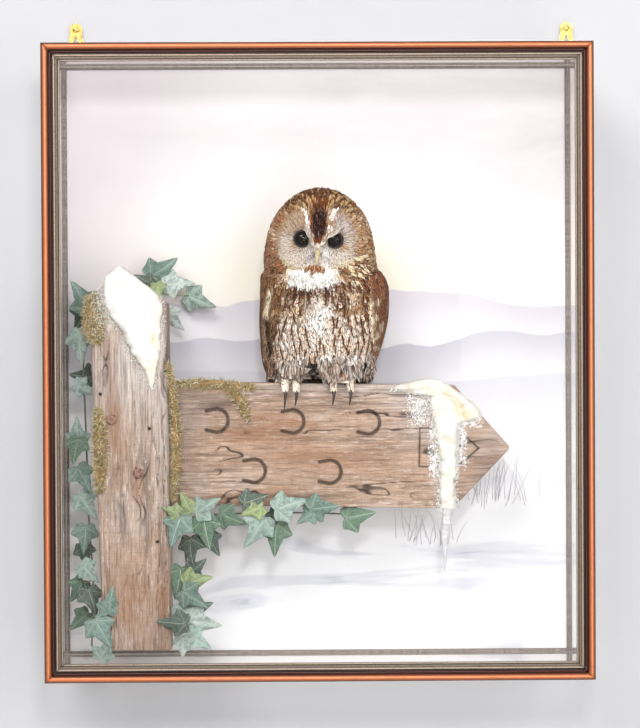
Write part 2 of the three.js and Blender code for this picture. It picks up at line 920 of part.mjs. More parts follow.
function billSolid(grow) {
  const points = toVectors([
    [0, -54, 7],
    [0, -65, 2],
    [0, -70.5, -7],
    [0, -69, -17],
  ]);
  return onHead(taperedBar(points, 5.6 + grow, 0.7 + grow, 5, 8));
}

// The head and the trunk are parted from the neck by two sloping cuts, lower at the chin than the nape.
const neckSlope = Math.atan(0.32);
const neckUpper = 178; // height of the upper cut over the middle of the bird
const neckThick = 14;
const cutNormal = [0, -Math.sin(neckSlope), Math.cos(neckSlope)];
const cutAt = (height) => height * Math.cos(neckSlope);

const inPlace = (solid) => solid.translate(bird.toArray());

// A folded wing by height: centre of its section out from the middle and back, half its chord, half
// its thickness, how far it turns to the rear and how much it curves round the body.
const wingStations = [
  { z: -54, out: 17, back: 54, chord: 8, thick: 2.5, turn: 78, camber: 0.5 },
  { z: -28, out: 34, back: 55, chord: 24, thick: 4.5, turn: 62, camber: 3 },
  { z: 2, out: 54, back: 49, chord: 29, thick: 6, turn: 40, camber: 6 },
  { z: 20, out: 65, back: 37, chord: 35, thick: 7, turn: 24, camber: 9 },
  { z: 40, out: 73, back: 22, chord: 42, thick: 7.5, turn: 14, camber: 12 },
  { z: 65, out: 78, back: 11, chord: 50, thick: 8, turn: 7, camber: 16 },
  { z: 92, out: 81, back: 4, chord: 54, thick: 8.5, turn: 3, camber: 18 },
  { z: 117, out: 80.5, back: 0, chord: 54, thick: 9, turn: 0, camber: 18 },
  { z: 140, out: 79, back: -3, chord: 50, thick: 9.5, turn: 0, camber: 16 },
  { z: 158, out: 73, back: -4, chord: 38, thick: 9, turn: 0, camber: 10 },
  { z: 170, out: 62, back: -4, chord: 14, thick: 5, turn: 0, camber: 2 },
];

function wingSolid(side, grow) {
  const rings = 16;
  const sides = 10;
  const first = wingStations[0].z;
  const last = wingStations[wingStations.length - 1].z;
  const sections = [];
  for (let i = 0; i <= rings; i++) {
    const level = first + ((last - first) * i) / rings;
    const z = level + endShift(i, rings, grow);
    const at = (key) => sizeAt(wingStations, key, level);
    const turn = (at("turn") * Math.PI) / 180;
    const middle = level > trunkStations[0].z ? sizeAt(trunkStations, "cx", level) : trunkStations[0].cx;
    const section = [];
    for (let j = 0; j < sides; j++) {
      const angle = (j / sides) * 2 * Math.PI;
      const along = Math.cos(angle);
      const chord = along * (at("chord") + grow);
      const lift = Math.sin(angle) * (at("thick") + grow) - at("camber") * along * along;
      const out = at("out") + chord * Math.sin(turn) + lift * Math.cos(turn);
      const rear = at("back") - chord * Math.cos(turn) + lift * Math.sin(turn);
      section.push(new THREE.Vector3(middle + side * out, rear, z));
    }
    if (side < 0) section.reverse();
    sections.push(section);
  }
  return inPlace(solidOf(new LoftGeometry(sections, { capStart: true, capEnd: true })));
}

const tailStations = [
  { z: -80, back: 36, wide: 35, thick: 3 },
  { z: -40, back: 37, wide: 34, thick: 4.5 },
  { z: 0, back: 39, wide: 29, thick: 6 },
  { z: 34, back: 42, wide: 22, thick: 8 },
];

function tailSolid(grow) {
  const rings = 6;
  const first = tailStations[0].z;
  const last = tailStations[tailStations.length - 1].z;
  const sections = [];
  for (let i = 0; i <= rings; i++) {
    const level = first + ((last - first) * i) / rings;
    const z = level + endShift(i, rings, grow);
    const at = (key) => sizeAt(tailStations, key, level);
    const rounding = i === 0 ? 0.86 : 1;
    const thick = at("thick") + grow;
    sections.push(ring(-3, at("back"), z, (at("wide") + grow) * rounding, thick, thick, 14));
  }
  return inPlace(solidOf(new LoftGeometry(sections, { capStart: true, capEnd: true })));
}

// Feathered legs: half width and half depth at the foot and up where they enter the belly.
const legs = [
  { name: "left", x: -47, wideFoot: 13, wideTop: 25, toes: [-50.5, -35] },
  { name: "right", x: 29, wideFoot: 15, wideTop: 29, toes: [17, 40.5] },
];
const legFoot = 12;
const legTop = 48;
const toeHeight = 10;

function legSolid(leg, grow) {
  const sections = [];
  const rings = 3;
  for (let i = 0; i <= rings; i++) {
    const rise = i / rings;
    const z = legFoot + (legTop - legFoot) * rise + endShift(i, rings, grow);
    const wide = leg.wideFoot + (leg.wideTop - leg.wideFoot) * Math.pow(rise, 0.7) + grow;
    const deep = 12 + 20 * Math.pow(rise, 0.8) + grow;
    sections.push(ring(leg.x, -4, z, wide, deep, deep, 10));
  }
  return inPlace(solidOf(new LoftGeometry(sections, { capStart: true, capEnd: true })));
}

// The paths of one foot's four toes: two over the front of the perch, one outwards, one to the rear.
function toePaths({ x, toes }) {
  const outward = Math.sign(x);
  const forward = toes.map((toeX) => [
    [x + 0.3 * (toeX - x), -1, toeHeight],
    [toeX, -19, toeHeight + 0.4],
    [toeX, -29.5, 3],
    [toeX, -31.5, -8],
  ]);
  const side = [
    [x, 0, toeHeight],
    [x + outward * 14, -2, toeHeight - 0.6],
    [x + outward * 22, 3, toeHeight - 1],
  ];
  const rear = [
    [x, 2, toeHeight],
    [x - outward * 2, 15, toeHeight - 0.4],
    [x - outward * 2, 25, 3.5],
  ];
  return [...forward, side, rear];
}

const toeRadius = 6;
const toeTip = 4.4;

function footSolid(leg, grow) {
  const toes = toePaths(leg).map((path) => {
    return taperedBar(toVectors(path), toeRadius + grow, toeTip + grow, 3, 6);
  });
  return inPlace(joined(toes));
}

// The claws carry on from the toes and hook over the edges of the perch, or lie along it.
function clawPaths({ x, toes }) {
  const outward = Math.sign(x);
  const forward = toes.map((toeX) => [
    [toeX, -31.2, -4],
    [toeX, -33.4, -15],
    [toeX - 1, -28.5, -28],
  ]);
  const side = [
    [x + outward * 18, 2, toeHeight - 1],
    [x + outward * 23, 4, toeHeight - 0.5],
    [x + outward * 28, 6, 4.4],
  ];
  const rear = [
    [x - outward * 2, 23, 5.5],
    [x - outward * 2, 27.5, 0],
    [x - outward * 2, 24.5, -11],
  ];
  return [...forward, side, rear];
}

function clawSolids(leg, grow) {
  return clawPaths(leg).map((path) => {
    return inPlace(taperedBar(toVectors(path), 2.9 + grow, 0.5 + grow, 3, 5));
  });
}

function addBird() {
  const plumage = finish(0xa08a72, 0.9);
  const flank = finish(0x6e4a30, 0.9);
  const cream = finish(0xd8ccb8, 0.9);
  const horn = finish(0x2a2422, 0.35);

  const wings = [wingSolid(-1, 2 * GAP), wingSolid(1, 2 * GAP)];
  const bust = headBall().add(inPlace(trunkBody()));
  const upper = cutAt(neckUpper) + bird.z * cutNormal[2] + bird.y * cutNormal[1];
  const lower = upper - neckThick;
  const below = cutNormal.map((value) => -value);
  const eyes = [eyeSolid(-1, GAP), eyeSolid(1, GAP)];
  const head = bust.trimByPlane(cutNormal, upper);
  place("owl_head", without(head, [...eyes, billSolid(GAP), ...wings]), plumage);
  const neck = bust.trimByPlane(below, -(upper - GAP)).trimByPlane(cutNormal, lower + GAP);
  place("owl_neck", mainBody(without(neck, wings)), cream);

  const legCutters = legs.map((leg) => legSolid(leg, GAP));
  const trunk = bust.trimByPlane(below, -lower);
  place("owl_trunk", mainBody(without(trunk, [...wings, ...legCutters, tailSolid(GAP)])), plumage);
  place("owl_tail", without(tailSolid(0), wings), flank);
  place("owl_wing_left", wingSolid(-1, 0), flank);
  place("owl_wing_right", wingSolid(1, 0), flank);

  place("owl_eye_left", eyeSolid(-1, 0), finish(0x0c0808, 0.05));
  place("owl_eye_right", eyeSolid(1, 0), finish(0x0c0808, 0.05));
  place("owl_bill", billSolid(0), finish(0xc9c4a0, 0.4));

  legs.forEach((leg) => {
    const foot = footSolid(leg, GAP);
    place("owl_leg_" + leg.name, without(legSolid(leg, 0), [foot, ...wings]), cream);
    place("owl_foot_" + leg.name, without(footSolid(leg, 0), clawSolids(leg, GAP)), cream);
    clawSolids(leg, 0).forEach((claw, i) => {
      place("owl_claw_" + leg.name + "_" + (i + 1), claw, horn);
    });
  });
}

addFrame();
addBack();
addBead();
addGlass();
addFingerpost();
addGrowth();
addBird();

export default part;
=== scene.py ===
import math

import bpy
import numpy as np
from bpy.props import FloatProperty, FloatVectorProperty, IntProperty, PointerProperty
from mathutils import Euler, Matrix, Vector


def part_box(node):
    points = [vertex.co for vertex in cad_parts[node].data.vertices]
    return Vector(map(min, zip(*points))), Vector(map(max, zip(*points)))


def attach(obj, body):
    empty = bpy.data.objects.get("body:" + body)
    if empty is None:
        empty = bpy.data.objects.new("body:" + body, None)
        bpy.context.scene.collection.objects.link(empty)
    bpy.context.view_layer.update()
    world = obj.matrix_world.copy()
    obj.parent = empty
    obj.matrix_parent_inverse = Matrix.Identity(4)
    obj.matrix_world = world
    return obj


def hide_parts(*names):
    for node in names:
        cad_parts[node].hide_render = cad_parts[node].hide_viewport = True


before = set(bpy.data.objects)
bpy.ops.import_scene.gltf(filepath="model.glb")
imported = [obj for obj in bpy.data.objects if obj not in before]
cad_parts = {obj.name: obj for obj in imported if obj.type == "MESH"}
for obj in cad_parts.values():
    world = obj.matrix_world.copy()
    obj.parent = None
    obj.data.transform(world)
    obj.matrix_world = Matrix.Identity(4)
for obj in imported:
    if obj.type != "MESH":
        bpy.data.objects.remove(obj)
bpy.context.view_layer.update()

bl_info = {
    "name": "Tawny Owl Wall Case",
    "version": (1, 0, 0),
    "blender": (4, 5, 0),
    "location": "View3D > Sidebar > Owl Case",
    "description": "Builds a mounted tawny owl on a fingerpost in a glazed wall case",
    "category": "Add Mesh",
}

# Shapes are worked out in millimetres and become metres when a mesh is made.
MM = 0.001


def lows(node):
    """Lowest corner of a node of the frame, in millimetres."""
    return np.array(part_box(node)[0]) / MM


def highs(node):
    """Highest corner of a node of the frame, in millimetres."""
    return np.array(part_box(node)[1]) / MM


# ---- Settings ----


def tint(code, alpha=1.0):
    """Linear colour from the six hex digits of a paint colour."""
    parts = [int(code[i:i + 2], 16) / 255 for i in (0, 2, 4)]
    linear = [c / 12.92 if c <= 0.04045 else ((c + 0.055) / 1.055) ** 2.4 for c in parts]
    return (*linear, alpha)


def colour(name, code, description):
    """A colour that the panel offers, from its six hex digits."""
    return FloatVectorProperty(
        name=name, description=description, default=tint(code), size=4, subtype="COLOR", min=0, max=1
    )


def length(name, default, description):
    """A length kept in metres; the default is given in millimetres."""
    return FloatProperty(
        name=name, description=description, default=default * MM, min=0, subtype="DISTANCE", unit="LENGTH"
    )


class CaseSettings(bpy.types.PropertyGroup):
    """Colours of the case."""

    copper: colour("Copper", "b0633a", "Lacquer on the outer bead of the moulding")
    recess: colour("Recess", "40201a", "Dark hollow of the moulding")
    slip: colour("Slip", "a89684", "Worn strip at the sight edge")
    bead: colour("Bead", "8c817a", "Limed quarter-round inside the case")
    brass: colour("Brass", "d9b768", "Hangers and their screws")


class WoodSettings(bpy.types.PropertyGroup):
    """Colours and grain of the fingerpost."""

    post: colour("Post", "ab9585", "Weathered post")
    arm: colour("Arm", "b59a86", "Weathered arm")
    grey: colour("Bleached", "d6cdc8", "Where weather has greyed the wood")
    rust: colour("Rust", "93623c", "Stains and dark grain")
    relief: length("Grain relief", 0.9, "How deep the weathered grain stands")


class WinterSettings(bpy.types.PropertyGroup):
    """Colours of snow and ivy, and how dense the moss is."""

    snow: colour("Snow", "ebe9e5", "Plaster snow")
    stain: colour("Stain", "e3cf9c", "Warm stain in the snow")
    leaf_dark: colour("Dark leaf", "23402d", "Darkest ivy leaf")
    vein: colour("Vein", "e2ead8", "Veins of the ivy")
    blades: IntProperty(name="Moss blades", description="Blades of moss to the square centimetre", default=52)


class OwlSettings(bpy.types.PropertyGroup):
    """Colours of the owl and the depth of its coat."""

    belly: colour("Belly", "e9dfd4", "Ground of the breast and belly")
    wings: colour("Wings", "8a6040", "Ground of the wings")
    hood: colour("Hood", "c09a76", "Ground of the head round the face")
    disc: colour("Disc", "d6cbbf", "Ground of the facial discs")
    bib: colour("Bib", "fffdf8", "White plumes under the face")
    legs: colour("Legs", "e0d2c0", "Down on the legs")
    horn: colour("Bill", "d2c192", "Bill")
    claw: colour("Claw", "3a302b", "Claws")
    iris: colour("Eye", "120a08", "Eyes")
    coat: length("Coat depth", 7.0, "From the skin to the feather tips")


class StageSettings(bpy.types.PropertyGroup):
    """Wall and light of the stage."""

    wall: colour("Wall", "c8c8cb", "Wall behind the case")
    key: FloatProperty(name="Key light", description="Power of the main light in watts", default=64.0)


class OwlCaseSettings(bpy.types.PropertyGroup):
    """All settings together."""

    case: PointerProperty(type=CaseSettings)
    wood: PointerProperty(type=WoodSettings)
    winter: PointerProperty(type=WinterSettings)
    owl: PointerProperty(type=OwlSettings)
    stage: PointerProperty(type=StageSettings)


def settings():
    """The sizes and colours chosen in the panel."""
    return bpy.context.scene.owl_case


# ---- Repeatable noise ----


def chance(cells, seed):
    """Repeatable numbers from 0 to 1 at whole-number cells: multiply, fold the bits, keep the low ones."""
    n = cells.astype(np.int64)
    mixed = n[..., 0] * 374761393 + n[..., 1] * 668265263 + n[..., 2] * 1442695041 + seed * 1013904223
    mixed = (mixed ^ (mixed >> 13)) * 1274126177
    mixed = mixed ^ (mixed >> 16)
    return (mixed & 0xFFFFFF) / 0xFFFFFF


def lumps(points, size, seed=0):
    """Smooth noise from -1 to 1, with lumps of `size` mm: eight cell corners blended by a smooth step."""
    scaled = points / np.asarray(size, float)
    base = np.floor(scaled)
    part = scaled - base
    part = part * part * (3 - 2 * part)
    total = 0
    for corner in np.ndindex(2, 2, 2):
        weight = np.prod(np.where(corner, part, 1 - part), axis=-1)
        total = total + weight * chance(base + corner, seed)
    return 2 * total - 1


def rough(points, size, octaves=3, seed=0):
    """Sum of lumps, each octave half the size and half the height of the last."""
    size = np.asarray(size, float)
    return sum(lumps(points, size / 2**i, seed + i) / 2**i for i in range(octaves))


def smooth(value, low, high):
    """Smooth step from 0 at low to 1 at high."""
    t = np.clip((value - low) / (high - low), 0, 1)
    return t * t * (3 - 2 * t)


def bump_at(value, centre, width):
    """Bell curve of height 1 about a centre."""
    return np.exp(-(((value - centre) / width) ** 2))


def xyz(x, y, z):
    """Points from three arrays or numbers, brought to one shape."""
    return np.stack(np.broadcast_arrays(x, y, z), -1).astype(float)


def parts(points):
    """The x, y and z of points, each in an array of its own."""
    return np.moveaxis(points, -1, 0)


def circle(count):
    """Angles evenly round a circle."""
    return np.linspace(0, 2 * math.pi, count, endpoint=False)


def staggered(count, row, off=0.0):
    """Angles evenly round a circle, in every other row half a step further on, each moved by `off` steps."""
    return (np.arange(count) + 0.5 * (row % 2) + off) * 2 * math.pi / count


def unit(vectors):
    """The same directions with length one."""
    return vectors / np.maximum(np.linalg.norm(vectors, axis=-1, keepdims=True), 1e-9)


def stations(table, z):
    """Smooth values from a table at heights: cubic pieces whose slopes come from the neighbours."""
    heights = table[:, 0]
    values = table[:, 1:]
    slopes = np.gradient(values, heights, axis=0)
    zc = np.clip(z, heights[0], heights[-1])
    i = np.clip(np.searchsorted(heights, zc) - 1, 0, len(heights) - 2)
    span = (heights[i + 1] - heights[i])[..., None]
    t = ((zc - heights[i]) / span[..., 0])[..., None]
    start = (1 + 2 * t) * (1 - t) ** 2
    leaving = t * (1 - t) ** 2
    arriving = t * t * (t - 1)
    out = start * values[i] + leaving * span * slopes[i] + (1 - start) * values[i + 1]
    return np.moveaxis(out + arriving * span * slopes[i + 1], -1, 0)


def curve(points, count):
    """Points along a smooth curve through the given ones."""
    points = np.asarray(points, float)
    at = np.arange(len(points), dtype=float)
    table = np.concatenate([at[:, None], points], 1)
    return stations(table, np.linspace(0, len(points) - 1, count)).T


# ---- Meshes from arrays ----


def grid_quads(rows, cols, wrap=False):
    """Faces of a grid stored row by row; with wrap the last column joins the first."""
    row = np.arange(rows - 1)[:, None] * cols
    col = np.arange(cols if wrap else cols - 1)[None, :]
    after = (col + 1) % cols
    return np.stack([row + col, row + after, row + cols + after, row + cols + col], -1).reshape(-1, 4)


def six_volumes(verts, tris):
    """Six times the volume inside closed triangles: positive where they face outwards."""
    a, b, c = verts[tris[:, 0]], verts[tris[:, 1]], verts[tris[:, 2]]
    return np.einsum("ij,ij->i", a, np.cross(b, c)).sum()


class Shell:
    """Collects closed surfaces, in millimetres, and makes them one mesh object."""

    def __init__(self):
        self.verts, self.quads, self.tris = [], [], []
        self.count = 0
        self.data = {}

    def add(self, verts, quads, tris=None, **data):
        verts = np.asarray(verts, float).reshape(-1, 3)
        quads = np.asarray(quads, int).reshape(-1, 4)
        tris = np.zeros((0, 3), int) if tris is None else np.asarray(tris, int)
        halves = np.concatenate([quads[:, :3], quads[:, [0, 2, 3]], tris])
        if six_volumes(verts - verts.mean(0), halves) < 0:
            quads, tris = quads[:, ::-1], tris[:, ::-1]
        self.verts.append(verts)
        self.quads.append(quads + self.count)
        self.tris.append(tris + self.count)
        for key, values in data.items():
            self.data.setdefault(key, []).append((self.count, np.asarray(values, float)))
        self.count += len(verts)

    def tube(self, rings, **data):
        """A closed tube through rings of points, capped by a fan at each end."""
        rings = np.asarray(rings, float)
        n, m = rings.shape[:2]
        verts = np.concatenate([rings.reshape(-1, 3), rings[:1].mean(1), rings[-1:].mean(1)])
        j = np.arange(m)
        k = (j + 1) % m
        start = np.stack([np.full(m, n * m), k, j], -1)
        end = np.stack([np.full(m, n * m + 1), (n - 1) * m + j, (n - 1) * m + k], -1)
        ends = {}
        for key, values in data.items():
            values = np.asarray(values, float)
            values = np.broadcast_to(values, (n, m) + values.shape[2:])
            rows = values.reshape(n, m, -1)
            ends[key] = np.concatenate([rows.reshape(n * m, -1), rows[:1].mean(1), rows[-1:].mean(1)])
        self.add(verts, grid_quads(n, m, wrap=True), np.concatenate([start, end]), **ends)

    def sheet(self, top, thick, normal, **data):
        """A closed thin plate under a grid of points: the grid, the same grid `thick` lower, and a rim."""
        top = np.asarray(top, float)
        rows, cols = top.shape[:2]
        low = top - normal * thick
        n = rows * cols
        quads = grid_quads(rows, cols)
        rim = np.concatenate([
            np.arange(cols), np.arange(2, rows + 1) * cols - 1,
            (rows - 1) * cols + np.arange(cols - 2, -1, -1), np.arange(rows - 2, 0, -1) * cols,
        ])
        after = np.roll(rim, -1)
        side = np.stack([rim, rim + n, after + n, after], -1)
        doubled = {key: np.tile(np.asarray(v, float).reshape(n, -1), (2, 1)) for key, v in data.items()}
        verts = np.concatenate([top.reshape(-1, 3), low.reshape(-1, 3)])
        self.add(verts, np.concatenate([quads, quads[:, ::-1] + n, side]), **doubled)

    def build(self, name, material, uv=()):
        """The mesh object; one value per point is a number, three a colour, and names in uv are maps."""
        verts = np.concatenate(self.verts) * MM
        quads = np.concatenate(self.quads)
        tris = np.concatenate(self.tris)
        loops = np.concatenate([quads.ravel(), tris.ravel()])
        starts = np.concatenate([np.arange(len(quads)) * 4, len(quads) * 4 + np.arange(len(tris)) * 3])
        mesh = bpy.data.meshes.new(name)
        mesh.vertices.add(len(verts))
        mesh.vertices.foreach_set("co", verts.ravel())
        mesh.loops.add(len(loops))
        mesh.loops.foreach_set("vertex_index", loops)
        mesh.polygons.add(len(starts))
        mesh.polygons.foreach_set("loop_start", starts)
        mesh.update(calc_edges=True)
        mesh.polygons.foreach_set("use_smooth", np.full(len(starts), True))
        for key, chunks in self.data.items():
            width = chunks[0][1].reshape(len(chunks[0][1]), -1).shape[1]
            values = np.zeros((self.count, width))
            for start, chunk in chunks:
                values[start:start + len(chunk)] = chunk.reshape(len(chunk), -1)
            if key in uv:
                layer = mesh.uv_layers.new(name=key)
                layer.data.foreach_set("uv", values[loops].ravel())
            elif width == 1:
                mesh.attributes.new(key, "FLOAT", "POINT").data.foreach_set("value", values.ravel())
            else:
                whole = np.concatenate([values, np.ones((self.count, 1))], 1)
                mesh.attributes.new(key, "FLOAT_COLOR", "POINT").data.foreach_set("color", whole.ravel())
        if mesh.validate():
            raise RuntimeError(name + " has faces that don't hold together")
        mesh.materials.append(material)
        return put(name, mesh)


def put(name, data):
    """A new object in the scene."""
    made = bpy.data.objects.new(name, data)
    bpy.context.scene.collection.objects.link(made)
    return made


def settle(piece, slot, *nodes):
    """Every piece rides on the one body and may stand for nodes of the frame; the slot is not used."""
    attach(piece, "root")
    if nodes:
        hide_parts(*nodes)
    return piece


def refinish(material, *nodes):
    """Gives nodes that keep their own shape a better material."""
    for node in nodes:
        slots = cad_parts[node].material_slots
        for slot in slots:
            slot.material = material


# ---- Materials ----


class Finish:
    """A node material written as plain calls: each call adds a node and returns its output."""

    def __init__(self, name):
        self.material = bpy.data.materials.new(name)
        self.material.use_nodes = True
        self.nodes = self.material.node_tree.nodes
        self.links = self.material.node_tree.links
        self.nodes.clear()
        self.output = self.nodes.new("ShaderNodeOutputMaterial")

    def node(self, kind, sockets=None, **options):
        """Adds a node; a socket takes a number, a colour, hex digits or the output of another node."""
        made = self.nodes.new("ShaderNode" + kind)
        for key, value in options.items():
            setattr(made, key, value)
        for key, value in (sockets or {}).items():
            if isinstance(value, bpy.types.NodeSocket):
                self.links.new(value, made.inputs[key])
            else:
                made.inputs[key].default_value = tint(value) if isinstance(value, str) else value
        return made

    def where(self):
        """The place on the object, in metres."""
        return self.node("TexCoord").outputs["Object"]

    def axis(self, vector, name):
        return self.node("SeparateXYZ", {0: vector}).outputs[name]

    def attribute(self, name, output="Fac"):
        """What the mesh carries under a name, as a number or a colour."""
        return self.node("Attribute", attribute_name=name).outputs[output]

    def maths(self, operation, first, second=0.0, clamp=False):
        return self.node("Math", {0: first, 1: second}, operation=operation, use_clamp=clamp).outputs[0]

    def plus(self, first, second, clamp=False):
        return self.maths("ADD", first, second, clamp)

    def minus(self, first, second):
        return self.maths("SUBTRACT", first, second)

    def times(self, first, second, clamp=False):
        return self.maths("MULTIPLY", first, second, clamp)

    def over(self, first, second):
        return self.maths("DIVIDE", first, second)

    def most(self, first, second):
        return self.maths("MAXIMUM", first, second)

    def square(self, value):
        return self.times(value, value)

    def bell(self, distance_squared):
        """e to the power of minus the squared distance."""
        return self.maths("POWER", 2.718, self.times(distance_squared, -1.0))

    def split(self, vector):
        """The three parts of a vector or colour."""
        return self.node("SeparateXYZ", {0: vector}).outputs

    def stretch(self, vector, scale):
        """A place with each of its parts multiplied by its own scale."""
        return self.node("VectorMath", {0: vector, 1: scale}, operation="MULTIPLY").outputs[0]

    def noise(self, vector, scale, detail=4.0, roughness=0.55, distortion=0.0):
        sockets = {"Vector": vector, "Scale": scale, "Detail": detail}
        sockets.update({"Roughness": roughness, "Distortion": distortion})
        return self.node("TexNoise", sockets).outputs["Fac"]

    def step(self, value, low, high):
        """Smooth step from 0 at low to 1 at high."""
        sockets = {"Value": value, "From Min": low, "From Max": high}
        return self.node("MapRange", sockets, interpolation_type="SMOOTHSTEP").outputs[0]

    def blend(self, amount, first, second):
        """A colour between two others: the first at 0, the second at 1."""
        return self.node("Mix", {0: amount, 6: first, 7: second}, data_type="RGBA").outputs[2]

    def tinge(self, tone, paint, strength, value, low, high):
        """Blends a paint in where a value steps from low to high."""
        return self.blend(self.times(self.step(value, low, high), strength), tone, paint)

    def ramp(self, value, stops):
        """Colour by value, from (place, colour) stops."""
        made = self.node("ValToRGB", {"Fac": value})
        elements = made.color_ramp.elements
        while len(elements) < len(stops):
            elements.new(0.5)
        for element, (place, paint) in zip(elements, stops):
            element.position = place
            element.color = tint(paint) if isinstance(paint, str) else paint
        return made.outputs["Color"]

    def shades(self, value, base, *stops):
        """Ramp of one colour made lighter or darker, from (place, factor) stops."""
        return self.ramp(value, [(place, shade(base, factor)) for place, factor in stops])

    def bump(self, height, distance):
        return self.node("Bump", {"Height": height, "Distance": distance}).outputs["Normal"]

    def surface(self, **sockets):
        """Closes the material with one Principled shader; spaces in socket names are written _."""
        named = {key.replace("_", " "): value for key, value in sockets.items()}
        shader = self.node("BsdfPrincipled", named)
        self.links.new(shader.outputs[0], self.output.inputs["Surface"])
        return self.material


def shade(first, factor):
    """A colour made lighter or darker."""
    return (*[min(1.0, c * factor) for c in first[:3]], 1.0)


# ---- The case ----

CASE_X, CASE_Z = highs("frame_right")[0], highs("frame_top")[2]
FRONT = lows("frame_top")[1]
MOULD_DEEP = highs("frame_top")[1] - FRONT
MOULD_WIDE = CASE_Z - lows("frame_top")[2]
PANEL_FRONT = lows("backdrop_panel")[1]
BEAD = highs("bead_top")[2] - lows("bead_top")[2]


def mitred_sides(shell, section, half_x, half_z, rear, stations, wear):
    """Carries a section of (distance in, height forward) points round a rectangle.

    Each side runs between mitres: at a distance d in from the edge it is d shorter at both ends.
    """
    d = section[None, :, 0]
    h = section[None, :, 1]
    u = np.linspace(-1, 1, stations)[:, None]
    hair = 0.12
    for turn in range(4):
        across, run = (half_z, half_x) if turn % 2 == 0 else (half_x, half_z)
        along = u * (run - d - hair)
        out = across - d + 0 * u
        sign = 1 if turn < 2 else -1
        x, z = (along, sign * out) if turn % 2 == 0 else (sign * out, along)
        points = xyz(x, rear - h, z)
        dent = wear(d, rough(points, (2.2, 2.2, 2.2), 2, seed=turn), rough(points, 40, 2, seed=9 + turn))
        points[..., 1] += dent
        shell.tube(points, across=np.broadcast_to(d, along.shape), run=np.broadcast_to(u * run, along.shape))


def arc(centre, radius, start, stop, count):
    """Points on an ellipse arc from one angle to another, in degrees."""
    angle = np.radians(np.linspace(start, stop, count))
    return np.stack([centre[0] + radius[0] * np.cos(angle), centre[1] + radius[1] * np.sin(angle)], -1)


def moulding_section():
    """A round outer bead, a hollow with a fillet, and a stepped slip down to the glass."""
    wide, deep = MOULD_WIDE, MOULD_DEEP
    rebate = deep - 13
    slip = wide - 9.6
    parts = [
        [[0, 0], [0, deep - 7.5]],
        arc((5.4, deep - 5.4), (5.0, 5.2), 168, 0, 13),
        [[10.6, deep - 7.4], [11.4, deep - 7.6]],
        arc((12.6, deep - 7.4), (1.1, 1.5), 150, 20, 5),
        [[14.0, deep - 8.2], [slip - 0.6, deep - 8.0]],
        arc((slip + 1.6, deep - 4.6), (1.7, 1.8), 170, 20, 6),
        [[slip + 3.7, deep - 5.2]],
        arc((slip + 5.3, deep - 5.4), (1.4, 1.5), 160, 20, 5),
        [[slip + 7.2, deep - 6.2]],
        arc((wide - 1.4, deep - 6.6), (1.3, 1.3), 150, 0, 5),
        [[wide, rebate], [10.4, rebate], [10.4, 0]],
    ]
    return np.concatenate([np.asarray(p, float) for p in parts])


def copper_finish():
    """Copper lacquer rubbed thin on the bead, with a painted highlight band along it and painted shade down
    its sides, a dark hollow, and a worn silver-brown slip whose lighter lines are painted highlights.
    """
    s = settings().case
    f = Finish("copper_and_slip")
    where = f.where()
    across = f.over(f.attribute("across"), MOULD_WIDE)
    jitter = f.times(f.minus(f.noise(where, 220, 2), 0.5), 0.035)
    place = f.plus(across, jitter)
    dark = tuple(s.recess)
    slip = tuple(s.slip)
    copper = tuple(s.copper)
    # Painted highlight and shade: across the round bead the copper runs from dark up to a bright band and
    # back down, and on the slip the lighter lines are painted highlights.
    bands = f.ramp(place, [(at, shade(paint, factor)) for at, paint, factor in (
        (0.0, dark, 0.3), (0.05, dark, 0.8), (0.085, copper, 0.5), (0.16, copper, 1), (0.22, copper, 1.8),
        (0.27, copper, 1), (0.36, copper, 0.45), (0.41, dark, 0.7), (0.455, dark, 1.2), (0.50, dark, 2.0),
        (0.53, dark, 0.6), (0.615, dark, 0.4), (0.645, slip, 0.5), (0.70, slip, 1.1), (0.755, slip, 0.30),
        (0.80, slip, 0.75), (0.855, slip, 0.30), (0.91, slip, 0.5), (0.965, slip, 1.05), (0.995, slip, 0.40),
    )])
    streaks = f.noise(where, 45, 5, 0.7)
    rubbed = f.times(f.step(streaks, 0.5, 0.68), f.step(across, 0.42, 0.3))
    worn = f.blend(f.times(rubbed, 0.35), bands, shade(copper, 0.6))
    on_slip = f.step(across, 0.62, 0.66)
    scuffs = f.times(f.step(f.noise(where, 420, 3, 0.7), 0.52, 0.62), on_slip)
    worn = f.blend(f.times(scuffs, 0.5), worn, shade(dark, 1.6))
    bump = f.bump(f.noise(where, 500, 3), 0.0004)
    return f.surface(
        Base_Color=worn, Roughness=0.34, Metallic=0.35, Normal=bump, Coat_Weight=0.3, Coat_Roughness=0.2
    )


def limed_finish():
    """Grey-brown limed wood with fine pores along the strip."""
    f = Finish("limed_bead")
    where = f.where()
    base = tuple(settings().case.bead)
    grain = f.noise(where, 260, 4, 0.7)
    tone = f.shades(grain, base, (0.3, 0.55), (0.5, 1), (0.7, 1.6))
    return f.surface(Base_Color=tone, Roughness=0.6, Normal=f.bump(grain, 0.0005))


def brass_finish():
    """Brass, dull and rough where a cloudy tarnish lies."""
    f = Finish("brass")
    where = f.where()
    base = tuple(settings().case.brass)
    tarnish = f.noise(where, 260, 4, 0.6)
    tone = f.shades(tarnish, base, (0.35, 0.5), (0.55, 1), (0.7, 1.25))
    rough_part = f.ramp(tarnish, [(0.3, (0.45,) * 3 + (1,)), (0.6, (0.22,) * 3 + (1,))])
    return f.surface(
        Base_Color=tone, Metallic=1.0, Roughness=rough_part,
        Normal=f.bump(f.noise(where, 900, 2), 0.0002)
    )


